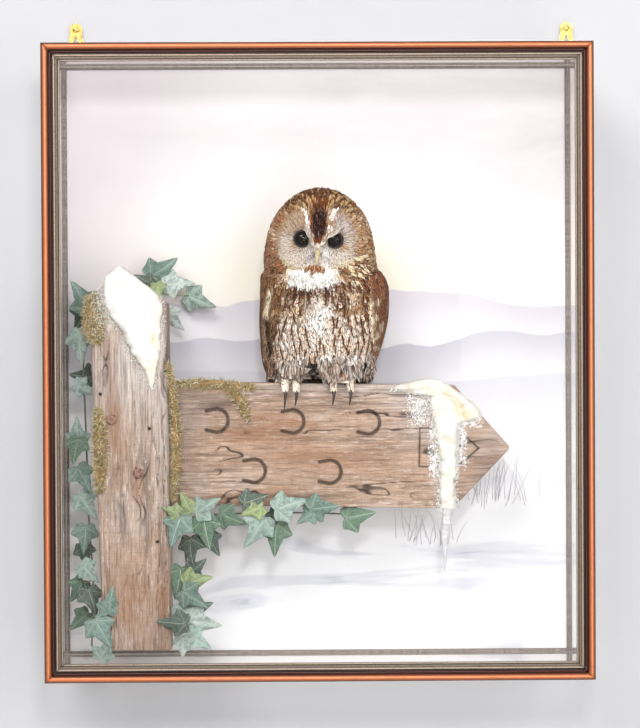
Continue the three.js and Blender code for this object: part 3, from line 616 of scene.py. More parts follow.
def board_finish():
    """Plywood at the rear, pale paint on the front margin."""
    f = Finish("backboard")
    where = f.where()
    grain = f.noise(f.stretch(where, (40, 40, 2.2)), 3.0, 6, 0.6, 0.6)
    ply = f.ramp(grain, [(0.3, "9c7848"), (0.5, "c4a06c"), (0.7, "d9bb8b")])
    knots = f.step(f.noise(f.stretch(where, (9, 9, 4)), 1.4, 2), 0.66, 0.74)
    ply = f.blend(f.times(knots, 0.5), ply, "6e4c2a")
    front = f.step(f.axis(where, "Y"), -0.0035, -0.0055)
    tone = f.blend(front, ply, "dcd8d4")
    return f.surface(Base_Color=tone, Roughness=0.8, Normal=f.bump(grain, 0.0006))


def glass_finish(name, silver):
    """Clear glass that also mirrors: `silver` times the cube of how edge-on it is seen."""
    f = Finish(name)
    clear = f.node("BsdfTransparent", {"Color": "fefefe"}).outputs[0]
    mirror = f.node("BsdfGlossy", {"Color": (1, 1, 1, 1), "Roughness": 0.02}).outputs[0]
    fresnel = f.times(f.node("Fresnel", {"IOR": 1.3}).outputs[0], 0.35)
    mixed = f.node("MixShader", {0: fresnel, 1: clear, 2: mirror}).outputs[0]
    full = f.node("BsdfGlossy", {"Color": "fbf8f6", "Roughness": 0.04}).outputs[0]
    edge_on = f.node("LayerWeight", {"Blend": 0.5}).outputs["Facing"]
    grazing = f.times(f.maths("POWER", edge_on, 3.0), silver)
    mixed = f.node("MixShader", {0: grazing, 1: mixed, 2: full}).outputs[0]
    f.links.new(mixed, f.output.inputs["Surface"])
    return f.material


def near(f, where, px, pz, wide, high):
    """Mask: 1 at a place on the front view, fading over a distance, all in mm."""
    x = f.over(f.minus(f.axis(where, "X"), px * MM), wide * MM)
    z = f.over(f.minus(f.axis(where, "Z"), pz * MM), high * MM)
    return f.bell(f.plus(f.square(x), f.square(z)))


def winter_finish():
    """A plain painted winter: soft cloud bands, a low glow, three misty rises and blown snow."""
    f = Finish("winter_paint")
    where = f.where()
    x = f.axis(where, "X")
    z = f.axis(where, "Z")
    wash = f.noise(where, 5.0, 5, 0.6, 0.4)
    grit = f.noise(where, 160, 3, 0.7)

    sky = f.blend(f.step(z, 0.05, 0.42), "fbf8f4", "f6f0f1")
    sky = f.tinge(sky, "dfd3da", 0.7, x, -0.05, -0.30)
    sky = f.blend(f.times(near(f, where, 60, 120, 260, 90), 0.55), sky, "f9efcf")
    bands = f.noise(f.stretch(where, (1.6, 1.0, 7.0)), 1.5, 5, 0.62, 0.8)
    above = f.step(z, 0.10, 0.34)
    aside = f.step(f.plus(x, f.times(wash, 0.1)), -0.22, 0.24)
    cloud = f.times(f.times(f.step(bands, 0.42, 0.66), above), f.plus(0.25, f.times(aside, 0.65)))
    sky = f.blend(cloud, sky, "ede4e8")
    sky = f.blend(f.times(f.times(f.step(bands, 0.62, 0.78), above), aside), sky, "dbd0d8")

    def rise(sky_now, level, swell, size, seed, top, fade, foot):
        """One far rise: darker along its crest and fading downwards."""
        line = f.noise(f.node("CombineXYZ", {0: x, 1: seed}).outputs[0], size, 4, 0.45)
        crest = f.plus(level, f.times(f.minus(line, 0.5), swell))
        below = f.minus(crest, z)
        body = f.blend(f.step(f.plus(below, f.times(wash, 0.02)), 0.0, fade), top, foot)
        return f.blend(f.step(below, -0.0015, 0.0015), sky_now, body)

    tone = rise(sky, 0.085, 0.20, 2.6, 3.7, "d8d3db", 0.09, "f3f1f4")
    tone = rise(tone, 0.03, 0.16, 3.4, 8.1, "cccad5", 0.08, "f0eff3")
    tone = rise(tone, -0.03, 0.09, 2.2, 14.3, "dfdfe7", 0.12, "f8f8fa")
    drift = f.noise(f.stretch(where, (2.2, 1.0, 13.0)), 1.3, 5, 0.55, 1.1)
    low = f.step(z, -0.09, -0.20)
    tone = f.blend(f.times(f.times(f.step(drift, 0.50, 0.62), low), 0.55), tone, "d0d2de")
    tone = f.blend(f.times(f.times(f.step(drift, 0.64, 0.70), low), 0.6), tone, "b3b4c3")
    tone = f.blend(f.times(f.times(f.step(drift, 0.42, 0.30), low), 0.7), tone, "f7f7fa")
    tone = f.tinge(tone, "8f8c9c", 0.06, grit, 0.55, 0.75)
    return f.surface(Base_Color=tone, Roughness=0.75, Normal=f.bump(grit, 0.0002))


def reed_bed():
    """Bare painted reeds in low relief on the panel: each a thin tapering bar bent by its own weight."""
    rng = np.random.default_rng(41)
    shell = Shell()
    s = np.linspace(0, 1, 9)
    around = np.radians([90, 210, 330])
    for cluster_x, cluster_z, count, spread, tall in ((255, -205, 34, 34, 74), (160, -262, 22, 22, 56)):
        for _ in range(count):
            foot_x = cluster_x + rng.normal(0, spread)
            foot_z = cluster_z + rng.normal(0, 6)
            high = tall * rng.uniform(0.45, 1.1)
            lean = rng.normal(0.05, 0.22)
            bend = rng.normal(0, 0.22) * high
            cx = foot_x + lean * high * s + bend * s**3
            cz = foot_z + high * s * (1 - 0.12 * s * abs(lean))
            r = (0.55 * (1 - s) + 0.12)[:, None]
            depth = PANEL_FRONT - 0.2 - 0.5 * r * np.sin(around)
            shell.tube(xyz(cx[:, None] + r * np.cos(around), depth, cz[:, None]))
    f = Finish("reed_paint")
    tone = f.blend(f.noise(f.where(), 30), "d8d5dc", "bdb9c4")
    return shell.build("painted_reeds", f.surface(Base_Color=tone, Roughness=0.8))


class OWLCASE_OT_case(bpy.types.Operator):
    """Moulding, bead, back, panel, hangers and glass of the case."""

    bl_idname = "owlcase.case"
    bl_label = "Case"

    def execute(self, context):
        shell = Shell()

        def slip_wear(d, fine, broad):
            return np.where(d > 15.5, 0.16 * fine, 0.05 * fine) + 0.06 * broad

        def bead_wear(d, fine, broad):
            return 0.12 * fine

        mitred_sides(shell, moulding_section(), CASE_X, CASE_Z, FRONT + MOULD_DEEP, 150, slip_wear)
        frame_piece = shell.build("moulding", copper_finish())
        settle(frame_piece, "moulding", "frame_top", "frame_bottom", "frame_left", "frame_right")

        shell = Shell()
        quarter = np.concatenate([[[0, 0], [BEAD, 0]], arc((0, 0), (BEAD, BEAD), 8, 82, 8), [[0, BEAD]]])
        half_x, half_z = highs("bead_right")[0], highs("bead_top")[2]
        mitred_sides(shell, quarter, half_x, half_z, PANEL_FRONT - 0.3, 150, bead_wear)
        bead = shell.build("inner_bead", limed_finish())
        settle(bead, "bead", "bead_top", "bead_bottom", "bead_left", "bead_right")

        refinish(board_finish(), "back_board")
        refinish(winter_finish(), "backdrop_panel")
        settle(reed_bed(), "backdrop")
        brass = brass_finish()
        refinish(brass, "hanger_left", "hanger_right", "hanger_screw_left", "hanger_screw_right")
        refinish(glass_finish("front_glass", 0.0), "front_glass")
        refinish(glass_finish("side_glass", 1.1), "pane_left", "pane_right", "pane_top", "pane_bottom")
        return {"FINISHED"}


# ---- The fingerpost ----

POST_FRONT, POST_BACK = lows("post")[1], highs("post")[1]
POST_FOOT = lows("post")[2]
SIGN_FRONT, SIGN_BACK = lows("sign_board")[1], highs("sign_board")[1]
SIGN_TOP = -31.0
SIGN_FALL = math.radians(1.1)
SIGN_HIGH = 173.0
SIGN_ROOT, SIGN_SHOULDER, SIGN_POINT = -226.0, 191.0, 271.0


def on_sign(points):
    """From the arm's own level frame to the case: it falls a little towards its point."""
    c, s = math.cos(SIGN_FALL), math.sin(SIGN_FALL)
    x, y, z = parts(points)
    return xyz(c * x + s * z, y, c * z - s * x + SIGN_TOP)


def from_sign(points):
    """From the case to the arm's own level frame."""
    c, s = math.cos(SIGN_FALL), math.sin(SIGN_FALL)
    x, y, z = parts(points - [0, 0, SIGN_TOP])
    return xyz(c * x - s * z, y, s * x + c * z)


def board_ring(high, deep, counts, radius):
    """Section of a board with rounded corners, for each height in `high`.

    Returns offsets forward (0 at the front, `deep` at the back) and up from the middle of the height.
    The counts are points down the front, across the edges and up the back.
    """
    front, edge, back = counts
    h = np.asarray(high, float)[:, None] / 2
    r = np.minimum(radius, 0.8 * h)
    quarter = np.linspace(0, math.pi / 2, 5)[None, 1:-1]
    sides = [
        (0 * h, (h - r) * np.linspace(1, -1, front)),
        (r * (1 - np.cos(quarter)), -h + r * (1 - np.sin(quarter))),
        (r + (deep - 2 * r) * np.linspace(0, 1, edge), -h + 0 * r),
        (deep - r * (1 - np.sin(quarter)), -h + r * (1 - np.cos(quarter))),
        (deep + 0 * h, (h - r) * np.linspace(-1, 1, back)),
        (deep - r * (1 - np.cos(quarter)), h - r * (1 - np.sin(quarter))),
        (r + (deep - 2 * r) * np.linspace(1, 0, edge), h + 0 * r),
        (r * (1 - np.sin(quarter)), h - r * (1 - np.cos(quarter))),
    ]
    return np.concatenate([np.stack(np.broadcast_arrays(*side)) for side in sides], 2)


def from_segment(x, z, start, end):
    """Distance from points to a straight segment."""
    ax, az = start
    bx, bz = end
    t = np.clip(((x - ax) * (bx - ax) + (z - az) * (bz - az)) / ((bx - ax) ** 2 + (bz - az) ** 2), 0, 1)
    return np.hypot(x - ax - t * (bx - ax), z - az - t * (bz - az))


def near_line(x, z, x0, z0, x1, z1, wide):
    """1 along a straight line on the front view, fading over a width."""
    return np.exp(-((from_segment(x, z, (x0, z0), (x1, z1)) / wide) ** 2))


ARROW = [(143, -115), (195, -115), (226, -88), (195, -61), (143, -61), (143, -115)]
HOOF_PLACES = [(-142 + 53 * i, (-54, -124)[i % 2]) for i in range(5)]
HOOF_RADIUS, HOOF_HALF, HOOF_HEEL = 16.5, 2.5, 14.0


FAR = 1e3


def carving(x, z):
    """How fully the face is cut away at points of the arm's own frame, from 0 to 1."""
    cut = np.full(x.shape, FAR)
    for start, end in zip(ARROW, ARROW[1:]):
        cut = np.minimum(cut, from_segment(x, z, start, end) + 1.3)
    for cx, cz in HOOF_PLACES:
        round_part = np.where(x > cx, np.abs(np.hypot(x - cx, z - cz) - HOOF_RADIUS), FAR)
        cut = np.minimum(cut, round_part)
        for side in (-1, 1):
            start, end = (cx, cz + side * HOOF_RADIUS), (cx - HOOF_HEEL, cz + side * (HOOF_RADIUS - 3))
            cut = np.minimum(cut, from_segment(x, z, start, end))
    return 1 - smooth(cut, HOOF_HALF - 0.7, HOOF_HALF + 0.4)


def weathering(points, along, seed):
    """Height of weathered grain in mm, and how cracked it is: noise drawn out along the grain."""
    grain = np.eye(3)[along]
    fine = rough(points, np.where(grain, 70, 2.6), 3, seed)
    wide = np.where(grain, 230, 11.0)
    split = np.abs(lumps(points + 4 * rough(points, 30, 2, seed + 5)[..., None], wide, seed + 7))
    crack = (1 - smooth(split, 0.0, 0.055)) * smooth(lumps(points, 60, seed + 8), -0.1, 0.35)
    relief = settings().wood.relief / MM
    return relief * (0.55 * fine + 0.5 * rough(points, 45, 2, seed + 3)) - 2.2 * crack, crack


# Where each wood is grey, rusty or frosted, and where it is darkened by painted shade beside the post and
# near its edges: x, z, width and height of soft spots in mm.
POST_SPOTS = {
    "grey": [(-262, -20, 60, 70), (-215, -60, 14, 90)],
    "rust": [(-288, -90, 10, 34), (-252, -172, 9, 30), (-262, -330, 40, 60)],
    "dark": [(-209, -10, 6, 60), (-318, 60, 8, 40)],
    "frost": [(-302, 84, 12, 24), (-290, 54, 9, 16), (-268, 22, 7, 24), (-246, -18, 7, 16),
              (-220, 50, 6, 40)],
}
ARM_SPOTS = {
    "grey": [(60, -36, 130, 11), (130, -64, 40, 26)],
    "rust": [(20, -140, 120, 20), (-60, -100, 60, 30)],
    "dark": [(-185, -80, 24, 110), (-120, -200, 90, 9), (240, -150, 26, 34), (-150, -60, 40, 20)],
    "frost": [(162, -122, 9, 34), (197, -110, 8, 30), (142, -66, 13, 22), (212, -82, 13, 8),
              (176, -180, 12, 30)],
}


def weathered_finish(name, base, along, spots, strength):
    """Weathered wood: bands and fibres along the grain, grey bleaching, rust, dark cracks and spots of
    painted shade.
    """
    s = settings().wood
    f = Finish(name)
    where = f.where()

    def drawn(across):
        """Places with distances along the grain made smaller, which draws a pattern out that way."""
        return f.stretch(where, tuple(across if k == along else 1.0 for k in range(3)))

    def mask(kind):
        """All soft spots of one kind, added up."""
        total = near(f, where, *spots[kind][0])
        for spot in spots[kind][1:]:
            total = f.plus(total, near(f, where, *spot), clamp=True)
        return f.times(total, strength)

    fine = f.noise(drawn(0.045), 420, 4, 0.7)
    broad = f.noise(drawn(0.09), 70, 5, 0.6, 0.5)
    short = f.noise(drawn(0.16), 300, 4, 0.75, 0.6)
    tone = f.shades(broad, base, (0.30, 0.45), (0.46, 0.9), (0.58, 1.12), (0.74, 1.42))
    tone = f.tinge(tone, shade(base, 0.38), 0.65, fine, 0.50, 0.64)
    tone = f.tinge(tone, shade(base, 1.6), 0.3, fine, 0.47, 0.36)
    saw = f.noise(f.stretch(where, (0.06, 1.0, 1.0) if along == 2 else (1.0, 1.0, 0.1)), 520, 3, 0.7)
    tone = f.tinge(tone, shade(base, 0.5), 0.35, saw, 0.5, 0.66)
    tone = f.tinge(tone, shade(s.rust, 0.6), 0.5, short, 0.53, 0.64)
    tone = f.tinge(tone, shade(s.grey, 1.25), 0.5, short, 0.45, 0.34)
    blotch = f.noise(where, 14, 4, 0.6)
    bleached = f.plus(mask("grey"), f.times(f.step(blotch, 0.5, 0.7), 0.35), clamp=True)
    silvery = f.shades(fine, s.grey, (0.35, 1.3), (0.62, 0.5))
    tone = f.blend(f.times(bleached, 0.65), tone, silvery)
    rusty = f.times(f.step(f.noise(drawn(0.2), 26, 4), 0.53, 0.68), 0.7)
    rusty = f.plus(rusty, mask("rust"), clamp=True)
    tone = f.blend(f.times(rusty, 0.55), tone, tuple(s.rust))
    # Painted shade: the dark spots darken the wood beside the post and near its edges.
    tone = f.blend(f.times(mask("dark"), 0.6), tone, "5c4d45")
    tone = f.blend(f.attribute("crack"), tone, "2b1d16")
    frost = f.times(mask("frost"), f.step(f.noise(where, 700, 4, 0.8), 0.42, 0.56))
    tone = f.blend(frost, tone, "dddad5")
    height = f.plus(fine, f.times(broad, 0.6))
    return f.surface(Base_Color=tone, Roughness=0.86, Normal=f.bump(height, 0.0011))


def post_top(x):
    """Height of the post's sloped top: two slopes that meet at a peak."""
    return np.interp(x, [-320, -277, -209], [89, 124, 81])


def build_post():
    """A board of level rings between two leaning edges, each ring as high up as its share of the sloped top.

    Nine rings that shrink to the middle close the top, and the surface is sunk by the weathered grain.
    """
    left_foot, left_top, right_foot, right_top = -302.0, -320.0, -206.5, -209.0
    rows = 300
    forward, across = board_ring(np.full(1, 2.0), 1.0, (70, 32, 40), 0.11)
    closing = np.linspace(0.94, 0.05, 9)
    t = np.concatenate([np.linspace(0, 1, rows), np.ones(9)])[:, None]
    shrink = np.concatenate([np.ones(rows), closing])[:, None]
    depth_middle = (POST_FRONT + POST_BACK) / 2
    y = depth_middle + (forward - 0.5) * (POST_BACK - POST_FRONT) * shrink
    left = left_foot + (left_top - left_foot) * t
    right = right_foot + (right_top - right_foot) * t
    x = (left + right) / 2 + across * (right - left) / 2 * shrink
    z = POST_FOOT + t * (post_top(x) - POST_FOOT)
    points = xyz(x, y, z)
    sideways = across * (np.abs(across) > 0.97)
    deeper = 2 * (forward - 0.5) * (np.abs(forward - 0.5) > 0.46)
    away = unit(xyz(sideways, deeper, 0 * x))
    height, crack = weathering(points, 2, 3)
    for hole_x, hole_z in ((-304, -44), (-225, -250), (-236, -92)):
        hole = np.hypot(x - hole_x, z - hole_z) < 2.2
        height = np.where(hole, height - 3, height)
        crack = np.where(hole, 1, crack)
    points = points + away * (np.minimum(height, 0.6) - 0.6)[..., None]
    shell = Shell()
    shell.tube(points, crack=crack[..., None])
    post = tuple(settings().wood.post)
    return shell.build("fingerpost", weathered_finish("post_wood", post, 2, POST_SPOTS, 0.8))


def build_arm():
    """A board carried along its length, drawn to a point at one end, with the carving cut 2.6 mm deep."""
    stations = np.concatenate([
        np.linspace(SIGN_ROOT, SIGN_SHOULDER, 366), np.linspace(SIGN_SHOULDER, SIGN_POINT - 2.5, 72)[1:]
    ])
    high = SIGN_HIGH * np.interp(stations, [SIGN_SHOULDER, SIGN_POINT], [1, 0])
    high = np.where(stations < SIGN_SHOULDER, SIGN_HIGH, high)
    forward, up = board_ring(high, SIGN_BACK - SIGN_FRONT, (150, 12, 24), 3.0)
    x = stations[:, None] + 0 * up
    z = up - SIGN_HIGH / 2
    y = SIGN_FRONT + forward
    face = forward < 0.01
    cut = carving(x, z) * face
    points = on_sign(xyz(x, y, z))
    height, crack = weathering(points, 0, 21)
    half = np.maximum(high[:, None] / 2, 1.0)
    edge = np.abs(up) > half - 0.01
    rear = forward > SIGN_BACK - SIGN_FRONT - 0.01
    away = xyz(0 * x, np.where(face, -1.0, np.where(rear, 1.0, 0.0)), np.where(edge, np.sign(up), 0.0))
    points = points + away * (np.minimum(height, 0.5) - 0.5)[..., None]
    points[..., 1] += 2.6 * cut
    # The carved grooves are darkened along with the cracks, carried on the same attribute.
    dark = np.clip(crack + 0.8 * cut, 0, 1)
    shell = Shell()
    shell.tube(points, crack=dark[..., None])
    arm = tuple(settings().wood.arm)
    return shell.build("pointing_arm", weathered_finish("arm_wood", arm, 0, ARM_SPOTS, 0.75))


def build_bolt(name):
    """A domed head with a sunk square, over a short shank: a profile turned about its axis."""
    low, high = lows(name), highs(name)
    centre_x, centre_z = (low[0] + high[0]) / 2, (low[2] + high[2]) / 2
    radius = (high[0] - low[0]) / 2
    r = radius * np.array([0.55, 0.55, 1.0, 1.0, 0.93, 0.75, 0.5, 0.25, 0.04])
    out = np.array([30, 3.4, 3.4, 1.6, 0.7, 0.25, 0.08, 0.0, 0.0])
    angle = circle(36)
    rings = xyz(r[:, None] * np.cos(angle), out[:, None], r[:, None] * np.sin(angle))
    rings[..., 1] += 0.25 * rough(rings, 3, 2, 4)
    shell = Shell()
    shell.tube(rings + [centre_x, low[1], centre_z])
    f = Finish(name + "_paint")
    where = f.where()
    tone = f.ramp(f.noise(where, 300, 5), [(0.35, "4a352c"), (0.5, "8a6656"), (0.7, "a98673")])
    pits = f.bump(f.noise(where, 700), 0.0004)
    return shell.build(name + "_head", f.surface(Base_Color=tone, Roughness=0.6, Normal=pits))


class OWLCASE_OT_fingerpost(bpy.types.Operator):
    """Weathered post, the carved arm and the bolt heads."""

    bl_idname = "owlcase.fingerpost"
    bl_label = "Fingerpost"

    def execute(self, context):
        settle(build_post(), "weathered_wood", "post")
        settle(build_arm(), "arm_wood", "sign_board")
        for name in ("bolt_upper", "bolt_lower"):
            settle(build_bolt(name), "bolt_head", name)
        f = Finish("block_wood")
        grain = f.noise(f.stretch(f.where(), (30, 30, 2)), 3, 5, 0.6, 0.5)
        tone = f.ramp(grain, [(0.3, "8a6a48"), (0.7, "c3a379")])
        refinish(f.surface(Base_Color=tone, Roughness=0.85, Normal=f.bump(grain, 0.0006)), "post_block")
        return {"FINISHED"}


# ---- Snow and ice ----


def grains(shell, centres, sizes, seed, **data):
    """Small rounded crumbs: an eight-sided bead for each centre, squashed and turned at random."""
    n = len(centres)
    rng = np.random.default_rng(seed)
    lat = np.radians([12, 60, 120, 168])[:, None]
    lon = np.radians(np.arange(6) * 60)[None, :]
    ball = xyz(np.sin(lat) * np.cos(lon), np.cos(lat), np.sin(lat) * np.sin(lon)).reshape(-1, 3)
    squash = rng.uniform(0.6, 1.3, (n, 1, 3))
    p = centres[:, None] + ball[None] * squash * np.broadcast_to(sizes, (n,))[:, None, None]
    quads = grid_quads(4, 6, wrap=True)
    ends = np.array([[3, 2, 1, 0], [5, 4, 3, 0], [18, 19, 20, 21], [18, 21, 22, 23]])
    every = (np.concatenate([quads, ends])[None] + (np.arange(n) * 24)[:, None, None]).reshape(-1, 4)
    shell.add(p, every, **{key: np.repeat(np.asarray(v, float), 24, axis=0) for key, v in data.items()})


def snow_rows(z, left, right, front, thick, back, bulge_seed, dips):
    """A drift clinging to a face: level rings, bulging forward between its left and right edges.

    Each edge is given as heights and the x at those heights.
    """
    u = np.concatenate([np.linspace(-1, 1, 60), np.linspace(1, -1, 26)[1:-1]])[None, :]
    at_front = np.arange(u.shape[1])[None, :] < 60
    x0, x1 = (np.interp(z, *edge)[:, None] for edge in (left, right))
    wobble = 1.6 * lumps(xyz(0 * z, 0 * z, z), 7, bulge_seed)[:, None]
    x = (x0 + x1) / 2 + wobble + u * (x1 - x0) / 2
    zz = z[:, None] + 0 * u
    swell = np.minimum(thick, 0.42 * (x1 - x0)) * np.sqrt(np.clip(1 - u**4, 0, 1))
    surface = xyz(x, 0 * x, zz)
    swell = swell * (1 + 0.30 * rough(surface, 16, 3, bulge_seed + 1)) - dips(x, zz)
    swell = np.maximum(swell, 0.7 * (1 - u**4))
    y = np.where(at_front, front - swell, back(x, zz))
    points = xyz(x, y, zz)
    fine = rough(points, 3.5, 2, bulge_seed + 2)
    points[..., 1] -= 0.45 * fine * at_front
    points[..., 0] += 0.8 * fine * np.abs(u) ** 3
    points[..., 2] += 0.5 * np.roll(fine, 7, 1)
    return points


def build_post_snow():
    """The drift on the post: it wraps over the sloped top, with crumbs of snow along its edges."""
    z = np.linspace(-39, 134, 190)
    left = ([-39, -10, 12, 40, 66, 96, 119, 134], [-232, -243, -259, -270, -290, -300, -297, -277])
    right = ([-39, -12, 22, 58, 78, 92, 103, 118, 134],
             [-230, -226, -219, -219, -214, -222, -234, -254, -276])

    def back(x, zz):
        over = smooth(zz - post_top(x), -1, 3)
        return POST_FRONT + 0.8 + over * (POST_BACK - POST_FRONT - 4)

    def dips(x, zz):
        crease = near_line(x, zz, -226, 84, -233, 38, 3.0) * 3.2
        return crease + 2.5 * bump_at(x, -229, 5) * bump_at(zz, 33, 9)

    points = snow_rows(z, left, right, POST_FRONT, 9.0, back, 50, dips)
    stain = 0.8 * bump_at(points[..., 0], -229, 4) * bump_at(points[..., 2], 33, 9)
    stain += 0.35 * smooth(points[..., 2], 20, -20) + 0.25 * smooth(points[..., 0], -232, -222)
    shell = Shell()
    shell.tube(points, stain=stain[..., None])
    rng = np.random.default_rng(12)
    count = 900
    pick = rng.uniform(-38, 100, count)
    edge = np.where(rng.random(count) < 0.62, np.interp(pick, *left), np.interp(pick, *right))
    x = edge + rng.normal(0, 3.4, count)
    centres = xyz(x, POST_FRONT - rng.uniform(0.0, 1.6, count), pick)
    sizes = rng.uniform(0.35, 1.1, count)
    keep = (x > -317) & (x < -211)
    grains(shell, centres[keep], sizes[keep], 13, stain=rng.uniform(0, 0.25, (keep.sum(), 1)))
    count = 1100
    x = np.clip(rng.normal(-301, 7, count), -318, -285)
    zc = 78 + (x + 301) * 0.8 + rng.normal(0, 17, count)
    keep = (zc < 116) & (zc > 20)
    centres = xyz(x, POST_FRONT - rng.uniform(0, 7, count), zc)[keep]
    grains(
        shell, centres, rng.uniform(0.35, 1.1, len(centres)), 14,
        stain=rng.uniform(0, 0.3, (len(centres), 1))
    )
    return shell


def build_arm_snow():
    """The drift on the arm: it wraps over the upper and lower edges of the board, with crumbs beside it."""
    z = np.linspace(-212, -26.5, 220)
    left = ([-212, -198, -181, -143, -97, -87, -50, -44, -38, -33, -26],
            [169, 169, 169.5, 171, 164.5, 162.5, 155, 122, 106, 116, 146])
    right = ([-212, -196, -181, -162, -117, -88, -84, -79, -65, -37, -29, -26],
             [187, 191, 187, 192, 193, 196, 208, 227, 221, 188, 173, 160])

    def back(x, zz):
        level = from_sign(xyz(x, 0 * x, zz))
        point = SIGN_HIGH / 2 * np.interp(level[..., 0], [SIGN_SHOULDER, SIGN_POINT], [1, 0])
        over = smooth(np.abs(level[..., 2] + SIGN_HIGH / 2) - point, -1.5, 2.0)
        return SIGN_FRONT + 0.8 + over * (SIGN_BACK - SIGN_FRONT - 3)

    def dips(x, zz):
        valley = near_line(x, zz, 158, -44, 190, -54, 3.5) * 3.0
        valley = valley + near_line(x, zz, 190, -54, 210, -76, 4.0) * 3.4
        return valley + 3.0 * near_line(x, zz, 118, -44, 150, -42, 3.0)

    points = snow_rows(z, left, right, SIGN_FRONT, 9.0, back, 70, dips)
    px, pz = points[..., 0], points[..., 2]
    stain = 0.45 * near_line(px, pz, 184, -52, 208, -76, 8) * (1 + lumps(points, 4, 76))
    stain += 0.25 + 0.3 * lumps(points, 14, 77) + 0.2 * lumps(points, 5, 78)
    shell = Shell()
    shell.tube(points, stain=np.clip(stain, 0, 1)[..., None])
    rng = np.random.default_rng(17)
    for edge in (left, right):
        zc = rng.uniform(-210, -45, 700)
        x = np.interp(zc, *edge) + rng.normal(0, 2.2, 700)
        centres = xyz(x, SIGN_FRONT - rng.uniform(0.4, 4.5, 700), zc)
        grains(shell, centres, rng.uniform(0.7, 1.7, 700), 18, stain=rng.uniform(0, 0.25, (700, 1)))
    return shell


def build_arm_frost():
    """Frost in crumbs on the board, on both sides of the snow that runs down it."""
    shell = Shell()
    rng = np.random.default_rng(15)
    zones = (((126, 158), (-42, -90), 800), ((155, 172), (-88, -160), 1100), ((189, 206), (-84, -146), 1100),
             ((198, 228), (-72, -94), 600), ((164, 194), (-140, -212), 400), ((106, 150), (-34, -43), 250))
    for (x0, x1), (z1, z0), count in zones:
        t = rng.random((count, 2))
        x = x0 + (x1 - x0) * (t[:, 0] + rng.normal(0, 0.10, count))
        zc = z0 + (z1 - z0) * (t[:, 1] + rng.normal(0, 0.07, count))
        dense = lumps(xyz(x, 0 * x, zc), 6, 79) > rng.uniform(-1.0, 0.35, count)
        centres = xyz(x, SIGN_FRONT - rng.uniform(-0.2, 1.0, count), zc)[dense]
        grains(
            shell, centres, rng.uniform(0.4, 1.15, dense.sum()), 16 + count,
            stain=rng.uniform(0, 0.25, (dense.sum(), 1))
        )
    return shell


def snow_finish():
    """Plaster snow: chalky, with warm stains and a sparkle of grain."""
    s = settings().winter
    f = Finish("plaster_snow")
    where = f.where()
    grit = f.noise(where, 520, 4, 0.7)
    soft = f.noise(where, 60, 4, 0.6)
    stain = f.times(f.attribute("stain"), f.step(soft, 0.35, 0.6), clamp=True)
    tone = f.blend(stain, tuple(s.snow), tuple(s.stain))
    tone = f.tinge(tone, "cda878", 0.5, f.attribute("stain"), 0.55, 1.1)
    tone = f.tinge(tone, "a79f94", 0.16, grit, 0.56, 0.7)
    return f.surface(
        Base_Color=tone, Roughness=0.75, Subsurface_Weight=0.15, Subsurface_Radius=(0.003, 0.003, 0.003),
        Subsurface_Scale=1.0, Normal=f.bump(grit, 0.0007)
    )


def build_icicle():
    """A tapering bar of ice, pinched into beads on its way down."""
    t = np.linspace(0, 1, 90)
    x = 178.5 - 3.5 * t + 0.8 * np.sin(9 * t)
    z = -206 - 89 * t
    r = (6.4 * (1 - t) ** 0.85 + 0.7) * (1 + 0.10 * np.sin(31 * t) + 0.06 * np.sin(83 * t))
    angle = circle(26)
    knob = 1 + 0.12 * np.cos(3 * angle[None, :] + 6 * t[:, None])
    r = r[:, None] * knob
    rings = xyz(x[:, None] + r * np.cos(angle), SIGN_FRONT - 3.3 + 0.85 * r * np.sin(angle), z[:, None])
    shell = Shell()
    shell.tube(rings)
    f = Finish("ice")
    where = f.where()
    streaks = f.noise(f.stretch(where, (1, 1, 0.3)), 420, 4, 0.6)
    tone = f.ramp(streaks, [(0.35, "e2e4e6"), (0.55, "f6f6f6"), (0.75, "ffffff")])
    return shell.build("icicle_ice", f.surface(
        Base_Color=tone, Roughness=0.22, IOR=1.31, Transmission_Weight=0.45, Normal=f.bump(streaks, 0.0006)))


# ---- Moss ----


def blades(shell, root, aim, length, wide, tone, seed):
    """Many slim bent three-sided blades, each closed, from a root along its aim."""
    n = len(root)
    rng = np.random.default_rng(seed)
    aim = unit(aim)
    side = unit(np.cross(aim, rng.normal(size=(n, 3))))
    fore = np.cross(aim, side)
    s = np.array([0.0, 0.4, 0.75, 1.0])
    r = np.array([1.0, 0.85, 0.55, 0.12])
    bend = rng.normal(0, 0.35, n)
    angle = np.radians([90, 210, 330])
    run = (length[:, None] * s)[..., None]
    aside = ((bend * length)[:, None] * s**2)[..., None]
    centre = root[:, None] + aim[:, None] * run + side[:, None] * aside
    c, q = np.cos(angle)[:, None], np.sin(angle)[:, None]
    round_it = c * side[:, None, None] + q * fore[:, None, None]
    p = centre[:, :, None] + (wide[:, None] * r)[:, :, None, None] * round_it
    quads = grid_quads(4, 3, wrap=True)
    tris = np.array([[0, 2, 1], [9, 10, 11]])
    step = (np.arange(n) * 12)[:, None, None]
    shell.add(
        p, (quads[None] + step).reshape(-1, 4), (tris[None] + step).reshape(-1, 3),
        tone=np.repeat(tone, 12, axis=0)
    )


MOSS_HUES = ("c4ac78", "dcc08c", "aaa674", "eadcb8", "8c8a5e", "b8925e", "f4ecd8")
MOSS_PLACES = {
    "moss_post_upper": (17, 8, [[(-313, -150, 96), (-312, -150, 60), (-309, -150, 26)]]),
    "moss_post_lower": (10, 8, [[(-307, -150, -62), (-304, -150, -120), (-306, -150, -182)]]),
    "moss_joint": (8, 8, [[(-209, -150, 0), (-202, -133, -70), (-201, -133, -140), (-205, -133, -196)]]),
    "moss_sign": (7, 8, [[(-198, -127, -30), (-150, -125, -31), (-88, -127, -36)],
                         [(-128, -127, -34), (-110, -128, -54), (-98, -127, -82)]]),
}


